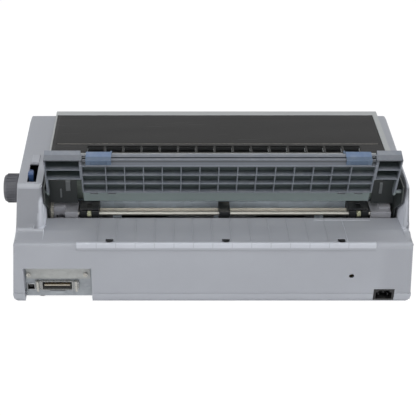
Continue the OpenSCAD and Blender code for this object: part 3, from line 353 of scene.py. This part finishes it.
def millimetres(place):
    """The way back: the millimetres across, forward from the rear face, and up."""
    return place.x * 1000 + origin_x, origin_back - place.y * 1000, place.z * 1000


side_area = 0.008
seam_length = 0.3
shortest_rim = 0.002


def side_rim(line):
    """The rim of the housing's two sides, which is rounded all the way round."""
    sides = [f for f in line.link_faces if abs(f.normal.x) > 0.95 and f.calc_area() > side_area]
    is_level = abs(line.verts[0].co.z - line.verts[1].co.z) < 0.0001
    on_seam = is_level and line.calc_length() > seam_length
    return bool(sides) and not on_seam and line.calc_length() > shortest_rim


case_grey = paint(151, 154, 161)
case_finish = moulded("case_grey_grained", case_grey, rough=0.5, drift=0.025, dust=0.06)
# Painted shade and painted highlights in the case's colour, where light falls so; the lever's pad is
# paler plastic.
lip_front, wall_front, deck_front, cheek_front = [at(0, back, 0).y for back in (4, 6, 34, 80)]
inlet_end = at(-255, 0, 0).x
pad_near, pad_far = at(263, 131, 0), at(274, 110, 0)
painted_shade_inner_walls = {"y": (-1, deck_front, 0.001), "z": (0.1125, 0.176, 0.002), "ny": (0.3, 2, 0.1)}
painted_highlight_lip = {"y": (lip_front, 1, 0.001), "z": (0.103, 0.2, 0.001), "x": (-0.25, 0.193, 0.001)}
painted_shade_inlet_end = {"x": (-1, inlet_end, 0.012), "y": (wall_front, 1, 0.001), "z": (0, 0.1, 0.002)}
cheek = {"y": (cheek_front, 1, 0.008), "z": (0.104, 0.16, 0.006)}
painted_highlight_cheek_right = {"x": (0.2, 1, 0.001), "nx": (-2, -0.35, 0.2), **cheek}
painted_highlight_cheek_left = {"x": (-1, -0.2, 0.001), "nx": (0.4, 2, 0.1), **cheek}
lever_pad = {"x": (pad_near.x, pad_far.x, 0.0005), "y": (pad_near.y, pad_far.y, 0.0005)}
lever_pad["nz"] = (0.8, 2, 0.05)
# Painted shade on the shoulders' inner walls, which face the rear.
toned(case_finish, 0.68, **painted_shade_inner_walls)
# Painted highlight along the deck's rounded rear lip.
toned(case_finish, 1.4, **painted_highlight_lip)
# Painted shade at the inlet's end of the rear face.
toned(case_finish, 0.9, **painted_shade_inlet_end)
# Painted highlights on the cheeks' rounded corners, as if lit from both sides.
toned(case_finish, 2.3, **painted_highlight_cheek_right)
toned(case_finish, 1.8, **painted_highlight_cheek_left)
toned(case_finish, 1.1, **lever_pad)
refine("upper_case", case_finish, edge=0.0005, steps=3, angle=25, big=side_rim, big_edge=0.0035)
# The lower moulding takes a lighter copy of the case grey: painted light from the floor's bounce.
lower_case_painted_light = moulded("lower_case_grained", shade(case_grey, 1.06), rough=0.5, drift=0.03, dust=0.02)
refine("lower_case", lower_case_painted_light, edge=0.0005, steps=3, angle=32, big=side_rim, big_edge=0.0016)
foot_rubber = moulded("foot_rubber", paint(36, 36, 38), rough=0.85, grain=700, depth=0.0001, drift=0.1)
refine("feet", foot_rubber, edge=0.0006)


# ---------------------------------------------------------------- The inner frames
# A zinc-plated steel tray, folded up along its front and under the carriage's rail, and two upright
# side plates in dark-coated sheet. The shafts, the guide and the cover's linkage hang in them.
def plated(name, colour, rough, spangle, metal=0.9):
    """Plated sheet: crystals of the plating, a little lighter or darker, and faint rolling marks."""
    material, shader, place = finish(name, colour, rough, metal)
    values = {"Vector": place, "Scale": spangle}
    crystal = place.node("TexVoronoi", {"feature": "F1"}, values, "Color")
    tone = place.node("SeparateColor", inputs={0: crystal}, out="Red")
    rolled = place.stretch(6, 400, 400).cloud(1, 2)
    (tone * 0.6 + rolled * 0.4).mix(shade(colour, 0.86), shade(colour, 1.08)).into(shader["Base Color"])
    (tone * 0.14 + rolled * 0.1 + (rough - 0.12)).into(shader["Roughness"])
    relief(shader, rolled, depth=0.00001, strength=0.3)
    return material


tray_finish = plated("tray_zinc_plate", paint(178, 180, 182), rough=0.42, spangle=130)
dress("base_frame", tray_finish, edge=0.0003)
side_finish = moulded("side_plate_coating", paint(38, 43, 43), rough=0.42, grain=900,
                      depth=0.00003, dust=0.2)
dress("side_frame_right", side_finish, edge=0.0002)
dress("side_frame_left", side_finish, edge=0.0002)


# ---------------------------------------------------------------- The cover and its window
# A flat lid moulded in the housing's grey, hinged on two stub pins, with a sheet of smoked acrylic
# set into it. Paper slots run along its rear edge, and a thin pale bead marks the window's fold.
def smoked(name, colour, alpha, rough):
    """Smoked acrylic: polished, with hairlines and a film of dust that dull it in streaks."""
    material, shader, place = finish(name, colour, rough, IOR=1.49, Specular_IOR_Level=0.12)
    film = place.stretch(5, 40, 1).cloud(1, 4, 0.6).ramp(0.35, 0.75)
    hairline = place.stretch(12, 900, 1).cloud(1, 3, 0.7).ramp(0.6, 0.72)
    (film * 0.8).mix(colour, shade(colour, 1.35)).into(shader["Base Color"])
    (film * 0.1 + hairline * 0.08 + rough).into(shader["Roughness"])
    (film * 0.03 + alpha).into(shader["Alpha"])
    relief(shader, hairline, depth=0.000004, strength=0.2)
    return material


def extrude(work, profile, left, right):
    """Adds a bar along X: profile is its section as (forward, height) in millimetres, in order."""
    near, far = [[work.verts.new(at(x, *point)) for point in profile] for x in (left, right)]
    for i in range(len(profile)):
        j = (i + 1) % len(profile)
        work.faces.new((near[i], near[j], far[j], far[i]))
    work.faces.new(near[::-1])
    work.faces.new(far)


def place_piece(name, work, material, body):
    """Makes a piece of the shape in work, and lets it ride on its body."""
    bmesh.ops.recalc_face_normals(work, faces=work.faces)
    mesh = bpy.data.meshes.new(name)
    work.to_mesh(mesh)
    work.free()
    mesh.materials.append(material)
    piece = bpy.data.objects.new(name, mesh)
    bpy.context.scene.collection.objects.link(piece)
    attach(piece, body)


def strip(name, profile, left, right, material, body, slot):
    """A piece that is one bar along X."""
    work = bmesh.new()
    extrude(work, profile, left, right)
    place_piece(name, work, material, body)


def half_round(back, height, wide, tall, steps=6):
    """The section of a bead: a half round that stands on a flat base."""
    turns = [math.pi * i / steps for i in range(steps + 1)]
    return [(back + wide / 2 * math.cos(a), height + tall * math.sin(a)) for a in turns]


cover_finish = moulded("cover_grey_grained", paint(161, 164, 165), rough=0.5, drift=0.03, dust=0.08)
slots_front, slots_rear = at(0, 137, 0).y, at(0, 115, 0).y
# Painted shade: the cover's faces inside the narrow paper slots are made nearly black.
painted_shade_slot_walls = {"y": (slots_front, slots_rear, 0.0002), "z": (0.15, 0.1985, 0.0002)}
toned(cover_finish, 0.05, nx=(-0.5, 0.5, 0.1), **painted_shade_slot_walls)
refine("top_cover", cover_finish, edge=0.0006, steps=3, angle=32)
window_finish = smoked("smoked_acrylic", paint(36, 36, 36), alpha=0.93, rough=0.16)
pale_end = at(239.5, 0, 0).x
toned(window_finish, 1.6, x=(pale_end, 1, 0.0015), nz=(0.5, 2, 0.1))
refine("cover_window", window_finish, edge=0.0003, steps=2, angle=32)
fold_distance = 28.8
bead_inset = 7
bead_wide, bead_tall, bead_sink = 0.9, 0.5, 0.55
window_low, window_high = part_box("cover_window")
window_left = millimetres(window_low)[0]
window_right, window_rear, window_top = millimetres(window_high)
bead_finish = moulded("window_bead_pale", paint(150, 146, 138), rough=0.4, grain=2500, dust=0.1)
bead = half_round(window_rear + fold_distance, window_top - bead_sink, bead_wide, bead_tall)
bead_ends = (window_left + bead_inset, window_right - bead_inset)
strip("window_bead", bead, *bead_ends, bead_finish, "cover", "window")


# ---------------------------------------------------------------- The deck's small forms
# The deck's ribs run on over its rear lip, and a thin raised line marks the paper's edge near the
# lip's far end. Two grey tabs and a pin stand on the side plates under the guide's end caps.
case_slot = slot_of_node["upper_case"]
lip_outer = [(-0.7, 110.66), (-1.35, 110.26), (-2.55, 108.05), (-2.55, 102.8)]
lip_inner = [(-2.2, 102.8), (-2.2, 108.0), (-0.8, 110.0)]
lip_section = lip_outer + lip_inner
rib_first, rib_pitch, rib_half, rib_count = 172.6, 28.6, 0.6, 14
# The lip's ribs take a lighter copy of the case grey, a painted highlight a little darker than the
# lip's.
rib_painted_highlight = moulded("lip_rib_grey", shade(case_grey, 1.12), rough=0.5)
for rib in range(rib_count):
    centre = rib_first - rib_pitch * rib
    rib_ends = (centre - rib_half, centre + rib_half)
    strip(f"lip_rib_{rib}", lip_section, *rib_ends, rib_painted_highlight, "housing", case_slot)
line_outer = [(68.2, 105.2), (68.2, 106.1), (68.8, 106.5)]
line_inner = [(70.4, 106.3), (71.0, 105.8), (71.0, 105.0)]
line_ends = (-242, -157)
# Painted highlight: the raised line takes a lighter copy of the case grey, as its edge catches the
# light.
line_painted_highlight = moulded("deck_line_grey", shade(case_grey, 1.25), rough=0.5)
strip("deck_line", line_outer + line_inner, *line_ends, line_painted_highlight, "housing", case_slot)
tab_rear, tab_front = 94.6, 97.2
tab_slant = (0.8, 2)
tab_finish = moulded("tab_grey", paint(104, 108, 110), rough=0.45)
plate_slot = slot_of_node["side_frame_right"]
tabs = {
    "tab_right": (216, 223, 143, 161),
    "pin_right": (229.6, 232, 131, 146),
    "tab_left": (-261, -256.5, 138, 157),
}
for name, (left, right, foot, top) in tabs.items():
    slanted = [(tab_rear, top - tab_slant[1]), (tab_rear + tab_slant[0], top)]
    upright = [(tab_rear, foot), *slanted, (tab_front, top), (tab_front, foot)]
    strip(name, upright, left, right, tab_finish, "housing", plate_slot)


# ---------------------------------------------------------------- The paper guide
# One grey moulding with a smooth face towards the cover and a grid of stiffening ribs at the rear,
# two hollow end caps and a top rail. Two blue clips slide on the rail and set the paper's edges.
guide_pivot = at(0, 60, 163)
guide_lean = math.radians(16)
rear_way = (0, math.cos(guide_lean), -math.sin(guide_lean))
up_way = (0, math.sin(guide_lean), math.cos(guide_lean))


def from_pivot(material, way):
    """How far a place on the guide lies from its pivot along a direction, in metres."""
    place = Strand(material.node_tree).node("TexCoord", out="Object")
    offset = place.node("VectorMath", {"operation": "SUBTRACT"}, {0: place, 1: guide_pivot})
    return offset.reach(way)


def facing(material, way):
    """1 where the surface faces a direction, 0 across it and -1 where it faces away."""
    return Strand(material.node_tree).node("TexCoord", out="Normal").reach(way)


guide_finish = moulded("guide_grey_grained", paint(98, 103, 111), rough=0.48, drift=0.04, dust=0.12)
skirt_foot, skirt_top, cells_top, ledge_top = -0.1, 0.003, 0.06, 0.0613
rail_foot, rail_top, rim_foot, rim_top = 0.0675, 0.0718, 0.0715, 0.0725
rim_front, rim_rear = -0.02, -0.005
guide_back, guide_height = from_pivot(guide_finish, rear_way), from_pivot(guide_finish, up_way)
rear_facing = facing(guide_finish, rear_way)
rearward = rear_facing.ramp(0.3, 0.6)
not_forward = rear_facing.ramp(-0.8, -0.5)
upward = facing(guide_finish, up_way).ramp(0.3, 0.6)
painted_shade_cells = guide_height.within(skirt_top, cells_top, 0.0005) * (1 - guide_back.ramp(-0.0037, 0.003))
skirt_greener_and_lit = rearward * guide_height.within(skirt_foot, skirt_top, 0.0003)
along_rim = guide_back.within(rim_front, rim_rear, 0.0003)
painted_highlight_rim = upward * guide_height.within(rim_foot, rim_top, 0.0002) * along_rim
painted_shadow_rail = rearward * guide_height.within(rail_foot, rail_top, 0.0003)
painted_highlight_ledge = rearward * guide_height.within(cells_top, ledge_top, 0.0003)
# Painted shade in the cells between the guide's rear ribs.
tinted(guide_finish, (0.36, 0.43, 0.38), painted_shade_cells * not_forward)
# The skirt's rear faces: a greener grey of the moulding, and lighter as painted light.
tinted(guide_finish, (1.45, 1.6, 1.35), skirt_greener_and_lit)
# Painted highlight on the top of the guide's rim.
tinted(guide_finish, (1.4, 1.4, 1.4), painted_highlight_rim)
# Painted shadow on the rear faces of the guide's top rail.
tinted(guide_finish, (0.5, 0.5, 0.5), painted_shadow_rail)
# Painted highlight along the ledge above the cells.
tinted(guide_finish, (1.7, 1.7, 1.7), painted_highlight_ledge)
refine("paper_guide", guide_finish, edge=0.0004, steps=2, angle=32)
clip_blue = moulded("edge_guide_blue", paint(70, 88, 110), rough=0.38, grain=2200,
                    depth=0.00003, dust=0.1)
clip_back, clip_height = from_pivot(clip_blue, rear_way), from_pivot(clip_blue, up_way)
painted_highlight_clip_top = clip_height.within(0.072, 0.08, 0.0003) * clip_back.within(-0.02, 0.001, 0.0005)
# Painted highlight on the blue clips' tops.
tinted(clip_blue, (1.5, 1.5, 1.6), painted_highlight_clip_top)
refine("edge_guide_right", clip_blue, edge=0.0007, steps=3, angle=32)
refine("edge_guide_left", clip_blue, edge=0.0007, steps=3, angle=32)


# ---------------------------------------------------------------- The platen, its knob and gears
# A ground rubber roller on a steel shaft, a ribbed knob pressed on the shaft's end outside the
# housing, and a train of nylon gears from a sintered brass pinion on the feed motor.
def turned(name, colour, rough, metal, lines, depth, **fixed):
    """A part turned or ground about X: fine lines around it, and tone that drifts along it."""
    material, shader, place = finish(name, colour, rough, metal, **fixed)
    ring = place.stretch(lines, 2, 2).cloud(1, 3, 0.6)
    wear = place.cloud(25, 4, 0.6).ramp(0.3, 0.75)
    (ring * 0.5 + wear * 0.5).mix(shade(colour, 0.88), shade(colour, 1.1)).into(shader["Base Color"])
    (ring * 0.12 + wear * 0.1 + (rough - 0.1)).into(shader["Roughness"])
    relief(shader, ring, depth, strength=0.35)
    return material


platen_rubber = turned("platen_ground_rubber", paint(126, 138, 130), rough=0.72, metal=0.0,
                       lines=1800, depth=0.00002)
platen_painted_shade_end = 0.188
# Painted shade on the platen's end on the knob side, beyond the side plate.
toned(platen_rubber, 0.35, x=(platen_painted_shade_end, 1, 0.001))
refine("platen", platen_rubber, edge=0.0005, steps=2)
shaft_steel = turned("ground_shaft_steel", paint(214, 204, 190), rough=0.34, metal=1.0,
                     lines=2600, depth=0.000004)
refine("platen_shaft", shaft_steel, edge=0.0004)
nylon = moulded("nylon_white", paint(214, 212, 202), rough=0.42, grain=900, depth=0.00002,
                Coat_Weight=0.1)
for gear in ("platen_gear", "feed_idler", "tractor_gear"):
    refine(gear, nylon, edge=0.00015, steps=1, angle=28)
sintered = plated("sintered_brass", paint(186, 160, 96), rough=0.4, spangle=2600)
refine("feed_pinion", sintered, edge=0.0001, steps=1, angle=28)
knob_finish = moulded("knob_dark_grey", paint(73, 74, 80), rough=0.5, grain=1800, dust=0.02)
refine("platen_knob", knob_finish, edge=0.0005, steps=2, angle=28)
motor_finish = plated("motor_black_steel", paint(112, 114, 118), rough=0.4, spangle=500, metal=0.7)
dress("feed_motor", motor_finish, edge=0.0008)


# ---------------------------------------------------------------- The paper release lever
# A blue moulded lever that turns on a stud of the side frame, and stands up in a slot of the
# housing's shoulder with a ridged finger pad at its tip.
lever_finish = moulded("lever_blue", paint(56, 80, 120), rough=0.4, grain=2000, depth=0.00003, dust=0.1)
refine("release_lever", lever_finish, edge=0.0008, steps=3, angle=30)
ridge_pitch, ridge_wide, ridge_tall, ridge_sink = 2.2, 0.9, 0.45, 0.5
ridge_inset, pad_half = 1.2, 8.4
lever_low, lever_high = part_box("release_lever")
lever_left = millimetres(lever_low)[0]
lever_right, lever_rear, lever_top = millimetres(lever_high)
ridge_ends = (lever_left + ridge_inset, lever_right - ridge_inset)
pad_middle = lever_rear + pad_half
for ridge in range(3):
    ridge_back = pad_middle + ridge_pitch * (ridge - 1)
    section = half_round(ridge_back, lever_top - ridge_sink, ridge_wide, ridge_tall)
    strip(f"lever_ridge_{ridge}", section, *ridge_ends, lever_finish, "release", "lever_blue")


# ---------------------------------------------------------------- The tractor unit
# A square drive shaft and a round guide shaft in pale steel, held by grey brackets at both ends.
# Two black tractors slide on them, each with a hinged door, a pin wheel and a lock in pale olive.
square_steel = turned("drive_shaft_steel", paint(255, 242, 226), rough=0.5, metal=0.0,
                      lines=900, depth=0.000005)
refine("drive_shaft", square_steel, edge=0.0004, steps=2)
guide_steel = turned("guide_shaft_steel", paint(172, 171, 164), rough=0.46, metal=0.8,
                     lines=2600, depth=0.000004)
refine("guide_shaft", guide_steel, edge=0.0003)
bracket_finish = moulded("bracket_grey", paint(154, 155, 161), rough=0.5, grain=1300, dust=0.15)
refine("tractor_bracket_right", bracket_finish, edge=0.0007, steps=2)
refine("tractor_bracket_left", bracket_finish, edge=0.0007, steps=2)
tractor_black = moulded("tractor_black", paint(22, 24, 26), rough=0.4, grain=1600,
                        depth=0.00004, dust=0.16)
wheel_grey = moulded("pin_wheel_grey", paint(58, 60, 62), rough=0.35, grain=1600, dust=0.0)
door_black = moulded("tractor_door_black", paint(38, 39, 43), rough=0.34, grain=1900, dust=0.14)
lock_finish = moulded("lock_olive", paint(180, 182, 152), rough=0.36, grain=1900, dust=0.06)
for side in ("right", "left"):
    refine("tractor_" + side, tractor_black, edge=0.0006, steps=2)
    refine("pin_wheel_" + side, wheel_grey, edge=0.0003, steps=2)
    refine("tractor_door_" + side, door_black, edge=0.0004, steps=2)
    refine("tractor_lock_" + side, lock_finish, edge=0.0003, steps=2)
refine("centre_support", tractor_black, edge=0.0008, steps=3)


# ---------------------------------------------------------------- The paper pan and the bail
# A pressed sheet that leads the paper under the platen, in pale coated steel, and the bail: a
# steel bar with four rubber rollers that swings down on two thin arms.
pan_finish = plated("pan_pale_sheet", paint(218, 229, 240), rough=0.5, spangle=60, metal=0.0)
refine("paper_pan", pan_finish, edge=0.0003)
bail_grey = paint(150, 153, 158)
roller_first, roller_pitch, roller_count = -174, 110, 4
roller_half = 0.0064
bail_steel, bail_shader, bail_place = finish("bail_bar_and_rollers", bail_grey, rough=0.35, metal=0.9)
across = bail_place.coordinate("X")
roller_spots = [at(roller_first + roller_pitch * i, 0, 0).x for i in range(roller_count)]
rubber = sum(across.maths("COMPARE", across, spot, roller_half) for spot in roller_spots)
rubber.mix(bail_grey, paint(34, 35, 36)).into(bail_shader["Base Color"])
(0.9 - rubber * 0.9).into(bail_shader["Metallic"])
(rubber * 0.45 + bail_place.cloud(400, 2) * 0.12 + 0.28).into(bail_shader["Roughness"])
refine("paper_bail", bail_steel, edge=0.0003)


# ---------------------------------------------------------------- The carriage and the print head
# A black carriage slides on a ground rod and a folded rail, pulled by a toothed belt between the
# motor's pulley and a return pulley. It carries the finned cast head, which prints through the
# ribbon of a long black cartridge.
carriage_black = moulded("carriage_black", paint(40, 41, 44), rough=0.45, grain=1400, dust=0.1)
refine("carriage", carriage_black, edge=0.0006, steps=2)
cast = moulded("head_cast_metal", paint(150, 152, 156), rough=0.42, grain=800, depth=0.00008,
               Metallic=0.85)
refine("print_head", cast, edge=0.0004, steps=2)
refine("carriage_rod", shaft_steel, edge=0.0004)
refine("carriage_motor", motor_finish, edge=0.0008, steps=2)
refine("carriage_pulley", nylon, edge=0.0002)
refine("idler_pulley", nylon, edge=0.0002)

belt_rubber, belt_shader, belt_place = finish("toothed_belt_rubber", paint(30, 30, 31), rough=0.7)
tooth_pitch = 0.002032
bands_in_a_metre = 20 / (2 * math.pi)
pitch_scale = 1 / tooth_pitch / bands_in_a_metre
bands = {"Vector": belt_place, "Scale": pitch_scale, "Distortion": 0.0}
teeth = belt_place.node("TexWave", {"wave_type": "BANDS", "bands_direction": "X"}, bands, "Fac")
(belt_place.cloud(600, 2) * 0.15 + 0.6).into(belt_shader["Roughness"])
teeth.mix(paint(22, 22, 23), paint(44, 44, 46)).into(belt_shader["Base Color"])
relief(belt_shader, teeth, depth=0.0003, strength=0.8)
dress("timing_belt", belt_rubber, edge=0.0002)

cartridge_black = moulded("cartridge_black", paint(44, 45, 48), rough=0.36, grain=1200, dust=0.12)
refine("ribbon_cartridge", cartridge_black, edge=0.001, steps=2)
lid_top = millimetres(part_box("ribbon_cartridge")[1])[2]
lid_rib_first, lid_rib_pitch, lid_rib_count = -200, 50, 9
lid_rib_thick, lid_rib_middle, lid_rib_wide = 3, 212, 22
lid_rib_tall, lid_rib_sink = 0.43, 0.45
lid_rib = half_round(lid_rib_middle, lid_top - lid_rib_sink, lid_rib_wide, lid_rib_tall, steps=8)
for rib in range(lid_rib_count):
    left = lid_rib_first + lid_rib_pitch * rib
    right = left + lid_rib_thick
    strip(f"cartridge_rib_{rib}", lid_rib, left, right, cartridge_black, "housing", "black_plastic")


# ---------------------------------------------------------------- The boards
# The logic board, in green solder resist with tinned tracks and black packages, and the power
# supply, a bare brown board with its transformer, capacitors and heat sink.
board_thick = 0.0016


def circuit(name, node, resist, track, package, cell):
    """A loaded board: tracks and pads on the flat resist, and dark packages that stand up from it."""
    material, shader, place = finish(name, resist, rough=0.35)
    board_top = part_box(node)[0].z + board_thick
    standing = place.coordinate("Z").ramp(board_top + 0.0001, board_top + 0.0003)
    values = {"Vector": place.stretch(1, 1, 0), "Scale": cell}
    settings = {"feature": "DISTANCE_TO_EDGE", "distance": "EUCLIDEAN"}
    edge = place.node("TexVoronoi", settings, values, "Distance")
    tracks = 1 - edge.ramp(0.03, 0.05)
    centre = place.node("TexVoronoi", {"feature": "F1"}, values, "Distance")
    pads = 1 - centre.ramp(0.12, 0.16)
    drawn = tracks.greater(pads)
    standing.mix(drawn.mix(resist, track), package).into(shader["Base Color"])
    (standing * 0.2 + place.cloud(500, 2) * 0.12 + 0.28).into(shader["Roughness"])
    relief(shader, drawn * (1 - standing), depth=0.00004, strength=0.5)
    return material


logic = circuit("logic_board_green", "main_board", resist=paint(34, 92, 58),
                track=paint(96, 140, 96), package=paint(38, 38, 40), cell=190)
dress("main_board", logic, edge=0.0003)
mains = circuit("supply_board_brown", "power_supply", resist=paint(166, 130, 78),
                track=paint(196, 176, 130), package=paint(70, 66, 62), cell=110)
dress("power_supply", mains, edge=0.0005)


# ---------------------------------------------------------------- The sockets in the rear face
# A recess with a plated steel plate, a pale cover plate held by two cross-headed screws, a square
# USB socket, a 36-way socket with wire bails, and at the other end the black mains inlet.
def shell_of(place, middle, half_wide, half_high):
    """1 on a socket's metal shell and 0 inside it, by how far a place is from its middle."""
    step = 0.0002
    beside = (place.coordinate("X") - middle.x).unsigned().ramp(half_wide, half_wide + step)
    above = (place.coordinate("Z") - middle.z).unsigned().ramp(half_high, half_high + step)
    return beside.greater(above)


plate_finish = plated("interface_plate_coated", paint(152, 157, 162), rough=0.5, spangle=200, metal=0.3)
refine("interface_plate", plate_finish, edge=0.0003)
option_finish = plated("option_plate_coated", paint(165, 167, 166), rough=0.48, spangle=160, metal=0.3)
refine("option_plate", option_finish, edge=0.0003)
screw_nickel = plated("screw_nickel", paint(176, 175, 170), rough=0.3, spangle=1800, metal=1.0)
refine("option_screws", screw_nickel, edge=0.0003)

usb_finish, usb_shader, usb_place = finish("usb_shell_and_core", paint(30, 30, 31), rough=0.45)
usb_low, usb_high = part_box("usb_port")
usb_middle = (usb_low + usb_high) / 2
usb_shell = shell_of(usb_place, usb_middle, half_wide=0.0052, half_high=0.0047)
usb_shell.mix(paint(14, 14, 15), paint(190, 192, 194)).into(usb_shader["Base Color"])
(usb_shell * 0.9).into(usb_shader["Metallic"])
(usb_place.cloud(700, 2) * 0.15 + 0.28).into(usb_shader["Roughness"])
refine("usb_port", usb_finish, edge=0.0002)

port_pale = paint(204, 198, 186)
port_finish, port_shader, port_place = finish("parallel_shell_and_core", port_pale, rough=0.32)
port_low, port_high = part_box("parallel_port")
port_middle = (port_low + port_high) / 2
port_shell = shell_of(port_place, port_middle, half_wide=0.0222, half_high=0.007)
tongue_half, tongue_edge = 0.0012, 0.0015
tip_start, tip_end = at(0, 15.5, 0).y, at(0, 14.5, 0).y
off_tongue = (port_place.coordinate("Z") - port_middle.z).unsigned().ramp(tongue_half, tongue_edge)
tongue_tip = (1 - off_tongue) * port_place.coordinate("Y").ramp(tip_start, tip_end)
core = tongue_tip.mix(paint(5, 5, 6), paint(160, 154, 142))
port_shell.mix(core, paint(150, 151, 150)).into(port_shader["Base Color"])
(port_shell * 0.6).into(port_shader["Metallic"])
(port_place.cloud(500, 2) * 0.16 + 0.2).into(port_shader["Roughness"])
refine("parallel_port", port_finish, edge=0.0003)

contact_gold = plated("contact_gold", paint(206, 174, 110), rough=0.3, spangle=2200, metal=1.0)
contact_pitch, contact_half, contacts_in_row = 2.159, 0.5, 18
contact_bend = [(12.4, 1.04), (12.4, 1.4), (15.0, 1.45), (18.5, 1.2), (18.5, 1.04)]
port_x, _, port_height = millimetres(port_middle)
contacts = bmesh.new()
for row in (-1, 1):
    section = [(back, port_height + row * rise) for back, rise in contact_bend]
    for pin in range(contacts_in_row):
        x = port_x + (pin - (contacts_in_row - 1) / 2) * contact_pitch
        extrude(contacts, section, x - contact_half, x + contact_half)
place_piece("parallel_contacts", contacts, contact_gold, "housing")
for side in ("right", "left"):
    refine("port_clip_" + side, screw_nickel, edge=0.00045, steps=3)
inlet_black = moulded("inlet_black", paint(14, 14, 16), rough=0.35, grain=1500, dust=0.04)
refine("power_inlet", inlet_black, edge=0.0005, steps=2)


# ---------------------------------------------------------------- The front
# A darker control panel set into the slope, with three pale buttons over small green lights, a
# fold-down flap over the front paper slot, and a black rocker switch at the low corner.
panel_finish = moulded("panel_grey", paint(96, 100, 110), rough=0.45, grain=1800, dust=0.06)
refine("control_panel", panel_finish, edge=0.0006, steps=2)
button_finish = moulded("button_pale_grey", paint(204, 206, 210), rough=0.4, grain=2000, dust=0.02)
for side in ("right", "middle", "left"):
    refine("button_" + side, button_finish, edge=0.0008, steps=3)
lens = moulded("light_green_lens", paint(110, 176, 92), rough=0.18, grain=400, depth=0.00001,
               Coat_Weight=0.5)
refine("status_lights", lens, edge=0.0004, steps=3)
flap_finish = moulded("flap_grey_grained", shade(case_grey, 0.99), rough=0.5, drift=0.03, dust=0.02)
refine("front_cover", flap_finish, edge=0.0006, steps=3)
switch_finish = moulded("switch_black", paint(34, 35, 38), rough=0.32, grain=2000, dust=0.04)
refine("power_switch", switch_finish, edge=0.0007, steps=3)
